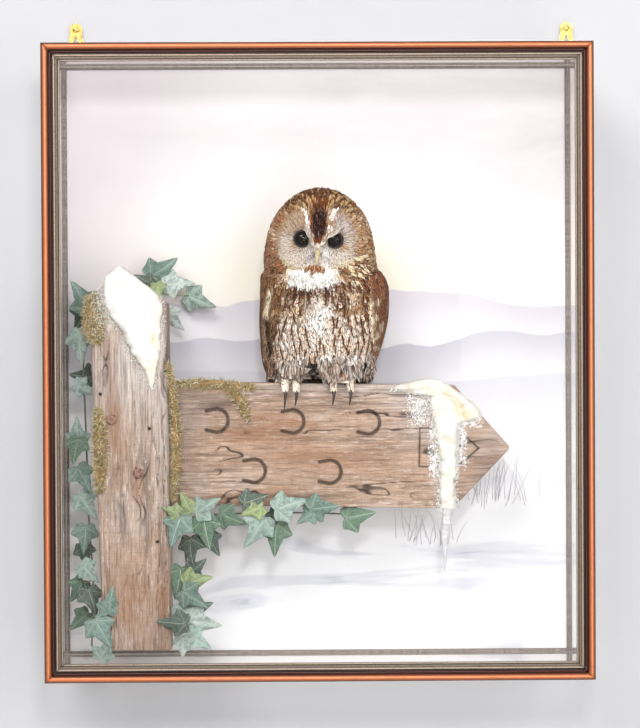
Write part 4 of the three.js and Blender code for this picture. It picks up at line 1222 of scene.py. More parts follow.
def build_moss(name, seed, finish):
    """Moss: an uneven pad along each path, set all over with blades."""
    wide, thick, paths = MOSS_PLACES[name]
    low, high = lows(name), highs(name)
    rng = np.random.default_rng(seed)
    shell = Shell()
    hues = np.array([tint(h)[:3] for h in MOSS_HUES])
    for path in paths:
        line = curve(path, 60)
        ahead = unit(np.gradient(line, axis=0))
        across = unit(np.cross([0, -1.0, 0], ahead))
        t = np.linspace(0, 1, 60)
        ends = np.sin(math.pi * (0.03 + 0.94 * t)) ** 0.5
        angle = circle(20)
        lumpy = 1 + 0.3 * lumps(line, 9, seed)[:, None] + 0.15 * np.sin(3 * angle + 9 * t[:, None])
        p = line[:, None] + (0.8 * wide * ends[:, None] * lumpy * np.cos(angle))[..., None] * across[:, None]
        p = p + (0.55 * thick * ends[:, None] * lumpy * np.sin(angle))[..., None] * np.array([0, -1.0, 0])
        p = np.clip(p, low + 0.5, high - 0.5)
        base = np.broadcast_to(hues[5] * 0.8, p.shape)
        shell.tube(p, tone=base)
        length = np.linalg.norm(np.diff(line, axis=0), axis=1).sum()
        count = int(length * 2 * wide / 100 * settings().winter.blades)
        i = rng.integers(1, 59, count)
        turn = rng.uniform(0.02, 0.98, count) * math.pi
        aside = 0.9 * wide * ends[i] * np.cos(turn) * rng.uniform(0.5, 1.1, count)
        root = line[i] + aside[:, None] * across[i]
        root = root + (0.6 * thick * ends[i] * np.sin(turn))[:, None] * np.array([0, -1.0, 0])
        aim = np.array([0, -0.45, 0]) + rng.normal(0, 0.8, (count, 3))
        aim = aim + np.cos(turn)[:, None] * across[i] * 0.8
        size = rng.uniform(3.0, 8.5, count)
        tone = hues[rng.integers(0, len(hues), count)] * rng.uniform(0.75, 1.3, (count, 1))
        root = np.clip(root, low + 1, high - 1)
        blades(shell, root, aim, size, rng.uniform(0.35, 0.7, count), np.clip(tone, 0, 1), seed + 1)
    return shell.build(name + "_tufts", finish)


# ---- Ivy ----

# Lobes of a leaf of length one: the angle from its tip and how far the edge reaches.
LEAF_EDGE = np.array([
    [0, 1.0], [14, 0.66], [31, 0.49], [46, 0.53], [61, 0.62], [74, 0.46], [86, 0.38], [100, 0.36],
    [112, 0.36], [132, 0.21], [152, 0.11], [180, 0.05],
])
# Leaf colours from pale to dark; the palest partly stand for painted highlights on the leaves.
LEAF_HUES = ("cddcd6", "a3bbb2", "6c8c82", "4b7553", "263f30", "98a860")
# Strands: the stem, then leaves as x, y, z of the middle, length, aim of the tip, lean, roll and hue.
IVY = {
    "ivy_behind": ([(-232, -54, 60), (-228, -50, 92), (-226, -46, 116)], [
        (-222, -40, 131, 44, 32, 14, 10, 2), (-200, -44, 111, 40, 5, 10, -14, 0),
        (-170, -36, 86, 42, -28, 12, 18, 1), (-206, -52, 59, 34, -50, 18, 20, 0),
        (-247, -44, 116, 26, 150, 10, 10, 4), (-226, -57, 101, 24, -75, 16, 0, 5),
    ]),
    "ivy_left": ([
        (-326, -96, 84), (-330, -100, 0), (-327, -96, -110), (-324, -98, -220), (-318, -110, -300),
        (-318, -128, -362), (-318, -138, -396),
    ], [
        (-331, -112, 92, 42, 118, 14, 20, 2), (-334, -84, 62, 36, -110, 8, -20, 4),
        (-334, -116, 24, 48, -92, 12, 24, 1), (-331, -84, -20, 36, 175, 8, -12, 4),
        (-328, -112, -38, 32, -30, 14, 25, 1), (-339, -110, -98, 38, 95, 12, -18, 1),
        (-340, -120, -122, 36, -105, 16, 16, 3), (-330, -118, -162, 40, -60, 14, -18, 2),
        (-326, -110, -201, 42, -58, 12, 14, 1), (-328, -118, -246, 40, -92, 15, -12, 2),
        (-330, -96, -272, 32, -80, 8, 10, 4), (-323, -122, -294, 34, -50, 14, 16, 1),
        (-340, -104, -321, 34, -120, 10, -14, 3), (-318, -134, -332, 40, -70, 14, -22, 4),
        (-291, -158, -332, 36, 80, 6, 30, 2), (-336, -116, -362, 34, -140, 10, 18, 3),
        (-302, -162, -373, 46, -58, 12, -10, 2), (-298, -156, -399, 34, 60, 16, 12, 1),
    ]),
    "ivy_sign": ([
        (-196, -134, -222), (-160, -112, -216), (-110, -108, -214), (-60, -108, -213), (0, -108, -214),
        (44, -108, -216),
    ], [
        (-199, -158, -232, 46, -112, 10, 14, 2), (-184, -134, -199, 32, 118, 12, 10, 5),
        (-205, -157, -206, 24, 160, 10, 0, 5), (-158, -136, -202, 38, 35, 14, -16, 1),
        (-158, -136, -237, 44, -80, 10, 16, 3), (-150, -112, -256, 34, -60, 8, 0, 4),
        (-123, -132, -219, 38, -25, 12, 16, 3), (-91, -136, -193, 38, 20, 8, -10, 4),
        (-92, -140, -207, 32, -160, 10, 12, 5), (-87, -138, -236, 46, -122, 12, -12, 1),
        (-61, -128, -247, 44, -95, 10, 20, 3), (-58, -112, -222, 32, -40, 8, 0, 4),
        (-42, -142, -200, 44, 20, 10, -16, 1), (-17, -136, -217, 30, -150, 12, 16, 2),
        (5, -140, -204, 42, 8, 12, 20, 2), (55, -124, -217, 44, 12, 10, -12, 3),
    ]),
    "ivy_right": ([
        (-190, -112, -246), (-186, -108, -290), (-184, -112, -330), (-182, -120, -368), (-186, -124, -394),
    ], [
        (-180, -122, -264, 40, -88, 10, 24, 4), (-172, -118, -289, 32, 40, 14, 10, 4),
        (-197, -122, -308, 44, -100, 8, -18, 3), (-172, -130, -306, 38, 15, 12, -10, 5),
        (-176, -134, -330, 44, -35, 12, 14, 2), (-198, -128, -350, 40, 172, 14, 16, 1),
        (-203, -158, -362, 42, 176, 8, -18, 4), (-164, -128, -365, 48, -12, 12, 12, 0),
        (-171, -134, -389, 40, -30, 16, -14, 1), (-191, -134, -396, 32, -92, 14, 10, 0),
        (-166, -104, -346, 30, 20, 6, 0, 3),
    ]),
}


def bar(shell, line, start, end, sides=7, **data):
    """A round bar along a line of points, its radius going from start to end."""
    ahead = unit(np.gradient(line, axis=0))
    side = unit(np.cross(ahead, [0.31, 0.93, 0.2]))
    fore = np.cross(ahead, side)
    r = np.linspace(start, end, len(line))[:, None, None]
    angle = circle(sides)[:, None]
    rings = line[:, None] + r * (np.cos(angle) * side[:, None] + np.sin(angle) * fore[:, None])
    shell.tube(rings, **{key: np.asarray(v)[None, None] for key, v in data.items()})


def build_ivy(name, seed, finish):
    """Ivy: each leaf a sheet in rings about its stalk, cupped, creased at the veins, curled at the tip."""
    stem, leaves = IVY[name]
    shell = Shell()
    rng = np.random.default_rng(seed)
    hues = np.array([tint(h)[:3] for h in LEAF_HUES])
    line = curve(stem, 60)
    brown, green = (np.array(tint(code)[:3]) for code in ("5d5a3a", "8f9a6a"))
    bar(shell, line, 1.5, 1.1, hue=brown, leaf=np.zeros(2))
    turn = np.radians(np.linspace(-176, 176, 57))[None, :]
    reach = np.interp(np.abs(np.degrees(turn)), LEAF_EDGE[:, 0], LEAF_EDGE[:, 1])
    r = np.concatenate([[0.03], np.linspace(0.12, 1, 9)])[:, None] * reach
    side, along = r * np.sin(turn), r * np.cos(turn)
    veins = np.radians([0, 61, -61, 112, -112])
    from_vein = np.min([np.abs(r * np.sin(turn - v)) + FAR * (np.cos(turn - v) < 0) for v in veins], axis=0)
    for x, y, z, length, aim, lean, roll, hue in leaves:
        grow = rng.uniform(0.96, 1.06)
        ripple = 0.035 * np.sin(5 * turn + rng.uniform(0, 6)) * r**1.5
        cup = rng.uniform(-0.05, 0.16) * r**2 + 0.25 * rng.uniform(0.3, 1.0) * np.abs(side) * 0.5
        curl = rng.uniform(0.0, 0.22) * smooth(along, 0.3, 1.0) * along**2
        crease = -0.030 * np.exp(-((from_vein / 0.03) ** 2))
        deep = cup + curl + ripple - crease
        deep = deep - deep.mean()
        p = xyz(side, deep, along - 0.4) * length * grow
        turned = Matrix.Identity(3)
        for angle, axis in ((90 - aim, "Y"), (lean, "X"), (roll, "Z")):
            turned = turned @ Matrix.Rotation(math.radians(angle), 3, axis)
        m = np.array(turned)
        p = p @ m.T + [x, y, z]
        p[..., 1] = np.minimum(p[..., 1], PANEL_FRONT - 2.5)
        tone = hues[hue] * rng.uniform(0.85, 1.15)
        uv = np.stack([side, along], -1)
        tone = np.broadcast_to(np.clip(tone, 0, 1), p.shape)
        shell.sheet(p, 0.6, m @ np.array([0, -1.0, 0]), hue=tone, leaf=uv)
        end = m @ np.array([0, 0, -0.38 * length]) + [x, y, z]
        start = line[np.argmin(np.linalg.norm(line - end, axis=1))]
        mid = (start + end) / 2 + [0, -3, -2]
        bar(shell, curve([start, mid, end], 10), 0.9, 0.8, sides=6, hue=green, leaf=np.zeros(2))
    return shell.build(name + "_leaves", finish, uv=("leaf",))


def ivy_finish():
    """Leaf: pale veins that fan from the stalk, darker patches between them and a dusty bloom."""
    s = settings().winter
    f = Finish("ivy_leaf")
    side, along = f.split(f.node("UVMap", uv_map="leaf").outputs[0])[:2]
    where = f.where()
    hue = f.attribute("hue", "Color")
    wander = f.times(f.minus(f.noise(where, 140, 2), 0.5), 0.05)
    total = 0.0
    broad = 0.0
    for degrees, size in ((0, 0.016), (61, 0.012), (-61, 0.012), (112, 0.010), (-112, 0.010)):
        c, q = math.cos(math.radians(degrees)), math.sin(math.radians(degrees))
        off = f.minus(f.times(side, c), f.times(along, q))
        off = f.maths("ABSOLUTE", f.plus(off, wander))
        ahead = f.plus(f.times(side, q), f.times(along, c))
        on = f.step(ahead, 0.0, 0.03)
        total = f.most(total, f.times(f.step(off, size, size * 0.35), on))
        broad = f.most(broad, f.times(f.step(off, 0.13, 0.0), on))
        rib = f.maths("SINE", f.times(f.minus(ahead, off), 48.0))
        fine = f.times(f.step(rib, 0.90, 0.99), f.step(off, 0.22, 0.05))
        total = f.most(total, f.times(f.times(fine, on), 0.45))
    mottle = f.noise(where, 170, 4, 0.65)
    dark = f.blend(0.62, hue, tuple(s.leaf_dark))
    tone = f.blend(f.times(f.step(mottle, 0.40, 0.56), f.minus(1.0, f.times(broad, 0.8))), hue, dark)
    net = f.node("TexVoronoi", {"Vector": where, "Scale": 420.0}, feature="DISTANCE_TO_EDGE")
    total = f.most(total, f.times(f.step(net.outputs["Distance"], 0.10, 0.02), 0.35))
    bloom = f.times(f.step(f.noise(where, 800, 2), 0.42, 0.7), 0.28)
    tone = f.blend(bloom, tone, "c9d8d3")
    tone = f.blend(f.times(total, 0.85), tone, f.blend(0.7, hue, tuple(s.vein)))
    height = f.plus(total, f.times(mottle, 0.5))
    return f.surface(Base_Color=tone, Roughness=0.42, Normal=f.bump(height, 0.0008))


class OWLCASE_OT_growth(bpy.types.Operator):
    """Snow, icicle, moss and ivy on the fingerpost."""

    bl_idname = "owlcase.growth"
    bl_label = "Snow, moss and ivy"

    def execute(self, context):
        finish = snow_finish()
        settle(build_post_snow().build("snow_on_post", finish), "snow", "snow_post")
        settle(build_arm_snow().build("snow_on_arm", finish), "snow", "snow_sign")
        f = Finish("frost")
        glitter = f.ramp(f.noise(f.where(), 900, 2), [(0.3, "ecebe9"), (0.5, "ffffff")])
        # The frost is given a faint painted glow by its emission.
        painted_glow = {"Emission_Color": "ffffff", "Emission_Strength": 0.02}
        frost = f.surface(Base_Color=glitter, Roughness=0.4, IOR=1.31, **painted_glow)
        settle(build_arm_frost().build("frost_on_arm", frost), "snow")
        settle(build_icicle(), "ice", "icicle")
        f = Finish("moss_fibre")
        fleck = f.noise(f.where(), 900, 3)
        tone = f.blend(f.times(f.step(fleck, 0.45, 0.65), 0.2), f.attribute("tone", "Color"), "5d5836")
        finish = f.surface(Base_Color=tone, Roughness=0.9)
        for i, name in enumerate(MOSS_PLACES):
            settle(build_moss(name, 90 + i, finish), "moss", name)
        finish = ivy_finish()
        for i, name in enumerate(IVY):
            settle(build_ivy(name, 100 + i, finish), "ivy", name)
        return {"FINISHED"}


# ---- The bird's form ----

# The bird's own frame: millimetres from the top of the perch, midway between the feet.
BIRD = np.array([4.0, -108.0, -33.0])
HEAD = np.array([-1.0, -10.0, 183.0])
TURN, TILT = math.radians(-3.5), math.radians(2.5)
HEAD_FRAME = np.array(Matrix.Rotation(TURN, 3, "Z") @ Matrix.Rotation(TILT, 3, "Y"))
# The head's reach from its middle; the higher its flatness, the flatter the face and the fuller its edge.
HEAD_WIDE, HEAD_UP, HEAD_DOWN, HEAD_DEEP, FACE_FLATNESS = 76, 92, 76, 62, 3.077
EYE_SPREAD, EYE_RISE, EYE_DEPTH = 22.0, 19.0, 47.0
EYE_BALL, LID_RADIUS = 13.2, 10.9
# Each upper lid: its side, which way it comes down from, and how far from the eye's middle it stops.
LIDS = ((-1, np.array([0.86, 0.0, 0.51]), 8.0), (1, np.array([-0.50, 0.0, 0.866]), 3.8))
DISC_X, DISC_Z, DISC_WIDE, DISC_HIGH = -2.5, 17.0, 54.5, 43.5
BIRD_MIDDLE = np.array([0.0, -2.0, 120.0])

# Height over the perch, middle, half width, reach to the front and to the back.
TRUNK = np.array([
    [10, -3, 12, 9, 12], [17, -3, 40, 28, 44], [24, -3, 61, 44, 52], [40, -1, 75, 61, 57],
    [65, 2, 82, 72, 63], [92, 4.5, 85, 77, 66], [117, 5.5, 85.5, 78, 66], [140, 5, 84, 76, 64],
    [158, 1.5, 79, 73, 61], [185, -1, 73, 66, 56], [215, -1, 40, 40, 36],
])
# Height, distance out and back of the middle, half chord, half thickness, turn to the rear, camber.
WING = np.array([
    [-54, 17, 54, 8, 2.5, 78, 0.5], [-28, 34, 55, 24, 4.5, 62, 3], [2, 54, 49, 29, 6, 40, 6],
    [20, 65, 37, 35, 7, 24, 9], [40, 73, 22, 42, 7.5, 14, 12], [65, 78, 11, 50, 8, 7, 16],
    [92, 81, 4, 54, 8.5, 3, 18], [117, 80.5, 0, 54, 9, 0, 18], [140, 79, -3, 50, 9.5, 0, 16],
    [158, 73, -4, 38, 9, 0, 10], [170, 62, -4, 14, 5, 0, 2],
])
TAIL = np.array([[-80, 36, 35, 3], [-40, 37, 34, 4.5], [0, 39, 29, 6], [34, 42, 22, 8]])
# Middle of the leg, half width at the foot and at the top, and where its two front toes cross the edge.
LEGS = ((-47, 13, 25, (-50.5, -35)), (29, 15, 29, (17, 40.5)))
TOE_HEIGHT = 10.0


def to_head(points):
    """From the bird's frame to the head's own."""
    return (points - HEAD) @ HEAD_FRAME


def from_head(points):
    """From the head's own frame to the bird's."""
    return points @ HEAD_FRAME.T + HEAD


LEFT_BROW = ((-5, 10), (-10, 20), (-16, 32))
RIGHT_BROW = ((5, 11), (11, 22), (27, 33))


def near_path(x, z, path, wide):
    """1 along a path on the face, fading over a width."""
    far = np.min([from_segment(x, z, a, b) for a, b in zip(path, path[1:])], axis=0)
    return np.exp(-((far / wide) ** 2))


def face_relief(x, z):
    """Hollows round the eyes, a ridge between them and a raised rim where the face ends."""
    hollow = sum(np.exp(-((x - s * EYE_SPREAD * 1.15) ** 2 + (z - EYE_RISE) ** 2) / 400) for s in (-1, 1))
    ridge = bump_at(x, 0, 8) * bump_at(z, 12, 26)
    rim = bump_at(np.hypot(x / 55, (z - 17) / 43), 1, 0.14)
    socket = sum(np.exp(-((x - s * EYE_SPREAD) ** 2 + (z - EYE_RISE) ** 2) / 150) for s in (-1, 1))
    brow = np.maximum(near_path(x, z, LEFT_BROW, 6), near_path(x, z, RIGHT_BROW, 6))
    return 3 * ridge + 2.5 * rim - 5 * hollow - 3.2 * socket * (1 - brow) + 3.5 * brow


def lid_form(p, lid):
    """A cap over the upper part of an eye, cut off along the lid's edge."""
    side, down, gap = lid
    off = to_head(p) - np.array([side * EYE_SPREAD, -EYE_DEPTH, EYE_RISE])
    return np.maximum(np.linalg.norm(off, axis=-1) - EYE_BALL - 2.0, gap - off @ down)


def trunk_form(p):
    """Distance from half ovals about a bent middle line, measured towards that line.

    How many times farther out than the oval a point lies is q, so the distance is far (1 - 1/q).
    """
    x, y, z = parts(p)
    cx, wide, front, back = stations(TRUNK, z)
    reach = np.where(y < 0, front, back)
    far = np.hypot(x - cx, y) + 1e-6
    q = np.hypot((x - cx) / wide, y / reach) + 1e-6
    return np.maximum(far * (1 - 1 / q), np.maximum(z - TRUNK[-1, 0], TRUNK[0, 0] - z))


def head_form(p):
    """Distance from a ball with its own reach each way, flattened in front and shaped by the face."""
    h = to_head(p)
    x, y, z = parts(h)
    high = np.where(z > 0, HEAD_UP, HEAD_DOWN)
    flat = (x / HEAD_WIDE) ** 2 + (z / high) ** 2
    facing = np.sqrt(np.clip(1 - flat, 0, 1))
    relief = face_relief(x, z) * np.minimum(1, 2.5 * facing)
    forward = np.maximum(-y - relief * smooth(-y, 0, 25), 0) / HEAD_DEEP
    behind = np.maximum(y, 0) / HEAD_DEEP
    q = np.sqrt(flat + forward**FACE_FLATNESS + behind**2) + 1e-6
    return np.linalg.norm(h, axis=-1) * (1 - 1 / q)


def wing_form(p, side):
    """Distance from a cambered oval blade at each height, turned more to the rear the lower it is."""
    x, y, z = parts(p)
    out, back, chord, thick, turn, camber = stations(WING, z)
    middle = stations(TRUNK, np.maximum(z, 17))[0]
    turn = np.radians(turn)
    dx = side * (x - middle) - out
    dy = y - back
    along = (dx * np.sin(turn) - dy * np.cos(turn)) / chord
    lift = dx * np.cos(turn) + dy * np.sin(turn) + camber * along**2
    q = np.hypot(along, lift / thick) + 1e-6
    far = np.hypot(along * chord, lift)
    return np.maximum(far * (1 - 1 / q), np.maximum(z - 171, -55 - z))


def tail_form(p):
    """Distance from a flat oval at each height, narrower at the very end."""
    x, y, z = parts(p)
    back, wide, thick = stations(TAIL, z)
    wide = wide * (1 - 0.14 * smooth(z, -66, -80))
    q = np.hypot((x + 3) / wide, (y - back) / thick) + 1e-6
    far = np.hypot(x + 3, y - back)
    return np.maximum(far * (1 - 1 / q), np.maximum(z - TAIL[-1, 0], TAIL[0, 0] - z))


def toe_paths(leg):
    """Two toes over the front of the perch, one outwards and one to the rear."""
    x, _, _, toes = leg
    outward = math.copysign(1, x)
    h = TOE_HEIGHT
    front = [[(x + 0.3 * (t - x), -1, h), (t, -19, h + 0.4), (t, -29.5, 3), (t, -31.5, -8)] for t in toes]
    side = [(x, 0, h), (x + outward * 14, -2, h - 0.6), (x + outward * 22, 3, h - 1)]
    rear = [(x, 2, h), (x - outward * 2, 15, h - 0.4), (x - outward * 2, 25, 3.5)]
    return front + [side, rear]


def claw_paths(leg):
    """Each claw's curve, from inside its toe down to the point."""
    x, _, _, toes = leg
    outward = math.copysign(1, x)
    h = TOE_HEIGHT
    front = [[(t, -30.6, -4), (t + 0.6, -34.6, -15), (t - 1.6, -30.0, -29 - 6 * (t < -40))] for t in toes]
    side = [(x + outward * 18, 2, h - 1), (x + outward * 23, 4, h - 0.5), (x + outward * 28, 6, 4.4)]
    rear = [(x - outward * 2, 23, 5.5), (x - outward * 2, 27.5, 0), (x - outward * 2, 24.5, -11)]
    return front + [side, rear]


def leg_form(p, leg):
    """Distance from an oval that widens upwards, joined to round bars along the toes."""
    x, y, z = parts(p)
    cx, foot, top, _ = leg
    rise = np.clip((z - 8) / 40, 0, 1)
    wide = foot + (top - foot) * rise**0.7
    deep = 12 + 20 * rise**0.8
    q = np.hypot((x - cx) / wide, (y + 4) / deep) + 1e-6
    far = np.hypot(x - cx, y + 4)
    form = np.maximum(far * (1 - 1 / q), np.maximum(z - 48, 8 - z))
    for path in toe_paths(leg):
        line = curve(path, 9)
        radius = np.linspace(6, 4.4, 9)
        for a, b, r in zip(line, line[1:], radius):
            t = np.clip(((p - a) @ (b - a)) / ((b - a) @ (b - a)), 0, 1)
            form = np.minimum(form, np.linalg.norm(p - a - t[..., None] * (b - a), axis=-1) - r)
    return form


def joined(forms, soft):
    """Soft union: the least of the distances, rounded where two are nearly equal."""
    forms = np.stack(forms)
    least = forms.min(0)
    return least - soft * np.log(np.exp(-(forms - least) / soft).sum(0))


def near_face(p):
    """1 on the facial discs, 0 elsewhere."""
    h = to_head(p)
    r = np.hypot((h[..., 0] - DISC_X) / DISC_WIDE, (h[..., 2] - DISC_Z) / DISC_HIGH)
    return smooth(r, 1.15, 0.9) * smooth(h[..., 1], 0, -20)


def bird_form(p, under=0.0):
    """Signed distance to the bird's outline; under=1 gives the skin, the coat's depth below it."""
    depth = settings().owl.coat / MM
    bust = joined([trunk_form(p), head_form(p)], 3.0)
    bust = bust + under * (depth - 0.5 * depth * near_face(p))
    limbs = [wing_form(p, s) + under * 2.6 for s in (-1, 1)]
    limbs += [leg_form(p, leg) + under * 1.2 for leg in LEGS]
    limbs += [tail_form(p) + under * 1.2]
    limbs += [lid_form(p, lid) + under * 2.6 for lid in LIDS]
    return joined([bust] + limbs, 0.8)


def leaning(p, form, **how):
    """Unit normal of a form and its steepness, from small steps along the axes."""
    step = 0.4
    here = form(p, **how)
    slope = np.stack([form(p + step * axis, **how) - here for axis in np.eye(3)], -1) / step
    size = np.maximum(np.linalg.norm(slope, axis=-1, keepdims=True), 0.15)
    return here, slope / size, size[..., 0]


def drape(p, under, height, rounds=3):
    """Moves points along the normal until they lie `height` above the level between outline and skin."""
    for _ in range(rounds):
        here, normal, size = leaning(p, bird_form, under=under)
        p = p - normal * np.clip((here - height) / size, -12, 12)[..., None]
    return p, normal


def unwrap(p):
    """The skin laid flat: longitude about an upright axis, with its seam down the back, and latitude."""
    d = unit(p - BIRD_MIDDLE)
    u = 0.5 + np.arctan2(d[..., 0], -d[..., 1]) / (2 * math.pi)
    v = 0.5 + np.arcsin(np.clip(d[..., 2], -1, 1)) / math.pi
    return np.stack([u, v], -1)


# ---- The bird's markings ----


def blob(x, z, cx, cz, wide, high):
    """Bell curve about a place on the front view, as wide and high as given."""
    return np.exp(-((x - cx) / wide) ** 2 - ((z - cz) / high) ** 2)


class Marks:
    """Colours and pattern strengths at points: each layer is blended in by its mask."""

    KEYS = ("ground", "mark", "streak", "bars")

    def __init__(self, count, ground, mark, streak, bars):
        ground = tint(ground) if isinstance(ground, str) else tuple(ground)
        self.ground = np.tile(ground[:3], (count, 1))
        self.mark = np.tile(tint(mark)[:3], (count, 1))
        self.streak = np.full(count, float(streak))
        self.bars = np.full(count, float(bars))

    def layer(self, mask, *values):
        """Blends new values in where the mask is 1; None leaves a value as it is."""
        m = np.clip(mask, 0, 1)
        for key, value in zip(self.KEYS, values):
            if value is None:
                continue
            now = getattr(self, key)
            if isinstance(value, str):
                now += (np.array(tint(value)[:3]) - now) * m[:, None]
            else:
                now += (value - now) * m
        return self


# Dark jagged marks on the breast: from, to and half width.
DARK_STREAKS = (
    (-41, 143, -37, 116, 3.2), (-29, 140, -26, 120, 2.8), (-19, 132, -20, 112, 2.4),
    (-50, 128, -46, 104, 3.0), (7, 137, 9, 119, 2.4), (15, 134, 13, 122, 1.8), (30, 122, 33, 104, 2.0),
)


def body_marks(p, luck=0.5):
    """White bib, streaked breast, pale barred belly, chestnut shoulders, brown back, and painted shade
    between the legs.
    """
    x, y, z = parts(p)
    luck = luck + 0 * x
    m = Marks(len(p), settings().owl.belly, "8a6450", 0.05, 0.45)
    patch = lumps(p, 8, 31) + 0.5 * (luck - 0.5)
    tone = lumps(p, 24, 32) + 0.8 * (luck - 0.5)
    m.layer(smooth(patch, 0.0, 0.4) * 0.9, "fdf9f4", None, None, 0.2)
    m.layer(smooth(patch, -0.1, -0.5) * 0.6, "ad9784")
    m.layer(smooth(tone, 0.25, 0.7) * 0.45, "cda683", "7a4c32", None, 0.6)
    bar = np.sin(z * 1.12 + 3 * lumps(p, 11, 33)) + 0.4 * (luck - 0.5)
    m.layer(smooth(bar, 0.45, 0.9) * smooth(lumps(p, 5, 34), -0.2, 0.4) * 0.7, "b08468")
    side = smooth(np.abs(x + 1), 15, 34)
    breast = smooth(z, 84, 102)
    m.layer(side * breast * 0.95, "e2c39c", "7a5034", 0.08, 0.4)
    m.layer(side * breast * smooth(patch, 0.1, 0.5) * 0.9, "fdf2de", None, 0.03, 0.2)
    m.layer(side * breast * smooth(tone, 0.1, 0.5) * 0.6, "a06a40", "4e2d1e", 0.2, 0.4)
    pale = np.maximum(blob(x, z, 2, 102, 9, 17), blob(x, z, -10, 80, 11, 12))
    white = np.maximum(pale, 0.8 * near_line(x, z, 2, 96, -14, 68, 7))
    m.layer(1.3 * white * (0.6 + luck), "fffdf8", "a9764f", 0.0, 0.1)
    m.layer(bump_at(z, 124, 12) * smooth(np.abs(x + 4), 48, 34) * 0.5, "dcc6aa", "5a3c2b", 0.1, 0.3)
    flecks = smooth(lumps(p, 8, 36) + luck - 0.5, 0.1, 0.5) * 0.75
    m.layer(side * smooth(z, 104, 120) * flecks, "8d5d3c", "4e2d1e", 0.1, 0.2)
    for x0, z0, x1, z1, half in DARK_STREAKS:
        jag = half * (0.7 + 0.9 * luck + 0.5 * np.sin(z * 1.3))
        m.layer(1.2 * near_line(x, z, x0, z0, x1, z1, jag), "5d3a28", "34201a", 0.2, 0.1)
    m.layer(blob(x, z, 31, 136, 8, 9), "b06c3c", "4a2a1b", 0.3, 0.3)
    m.layer(blob(x, z, -57, 138, 9, 9) * 0.8, "d2a873", "7a4a2a", 0.2, 0.5)
    m.layer(near_line(x, z, 39, 142, 42, 120, 4), "efdfc4", "8a5c3a", 0.05, 0.1)
    m.layer(smooth(x, 54, 66) * smooth(z, 40, 74) * smooth(z, 168, 146), "885434", "5b3422", 0.15, 0.5)
    m.layer(smooth(x, -62, -72) * 0.9, "94633f", "3c2318", 0.3, 0.7)
    bib = smooth(np.hypot((x + 11) / 37, (z - 151 - 0.005 * (x + 11) ** 2) / 12), 1.15, 0.8)
    m.layer(bib * smooth(y, 0, -15), "fffdfa", "ece4dc", 0.0, 0.0)
    # Painted shade in the hollow between the legs, above the perch.
    m.layer(blob(x, z, -14, 10, 12, 26) * 1.7, "3f342b", "2a211a", 0.1, 0.1)
    m.layer(smooth(y, -8, 22), "97673f", "462a1d", 0.32, 0.85)
    m.layer(smooth(y, 0, 25) * smooth(patch, 0.25, 0.6) * 0.7, "c9a377")
    return m


def wing_marks(p, luck=0.5):
    """Brown wings with pale spots; the right one is chestnut at the shoulder."""
    x, y, z = parts(p)
    luck = luck + 0 * x
    m = Marks(len(p), settings().owl.wings, "412619", 0.28, 0.75)
    right = smooth(x, -5, 5)
    m.layer(right * smooth(z, 66, 100), "7f5138", "51301f", 0.12, 0.5)
    m.layer(right * smooth(z, 92, 58), "a07450", "45291b", 0.3, 0.9)
    m.layer((1 - right) * smooth(y, 5, -30), "94704f", "4a3022", 0.25, 0.5)
    patch = lumps(p, 12, 61) + 1.0 * (luck - 0.5)
    m.layer(smooth(patch, 0.2, 0.6) * (0.45 - 0.2 * right), "cfa678")
    m.layer(smooth(lumps(p, 5, 62) + luck - 0.5, 0.3, 0.7) * 0.4 * right, "b98a64")
    for cx, cz in ((77, 113), (76, 92), (83, 80), (77, 52), (79, 66)):
        m.layer(blob(x, z, cx, cz, 2.6, 4.0) * (0.5 + luck), "efe4d2", "8a6a50", 0.0, 0.0)
    m.layer(near_line(x, z, 66, 126, 72, 62, 3.4) * (0.5 + 0.9 * luck), "f2e2c4", "6e4a30", 0.06, 0.1)
    m.layer(near_line(x, z, -69, 126, -75, 94, 3.4) * (0.5 + 1.1 * luck), "f2e4c8", "8a6a4a", 0.0, 0.1)
    # Dark stripe down the left wing's edge: partly dark primaries, partly painted shadow in the gap between
    # wing and flank.
    m.layer(near_line(x, z, -73, 88, -71, 22, 2.6) * 1.1, "33211a", "1c120f", 0.3, 0.2)
    m.layer(near_line(x, z, -78, 84, -76, 30, 2.2) * 0.8, "c9b094")
    m.layer(smooth(y, 10, 30) * 0.6, "936540", "3c261c", 0.3, 0.95)
    return m


def crown_edge(z):
    """Half width of the dark crown wedge at heights over the middle of the head."""
    return np.interp(z, [8, 16, 22, 28, 38, 50, 63, 80], [0.3, 5.5, 8.0, 11.5, 13, 12, 11, 12])


def crown_arms(x, z):
    """White streaks on both sides of the wedge, running up and outwards."""
    left = near_line(x, z, -13, 33, -17, 48, 2.6) + near_line(x, z, -17, 48, -23, 60, 3.8)
    return left + near_line(x, z, 14.5, 34, 17, 50, 2.6) + near_line(x, z, 17, 50, 23, 64, 3.8)


def disc_radius(h):
    """1 on the edge of the facial discs, less inside."""
    x, z = h[:, 0] - DISC_X, h[:, 2] - DISC_Z
    return ((np.abs(x) / DISC_WIDE) ** 2.3 + (np.abs(z) / DISC_HIGH) ** 2.3) ** (1 / 2.3)


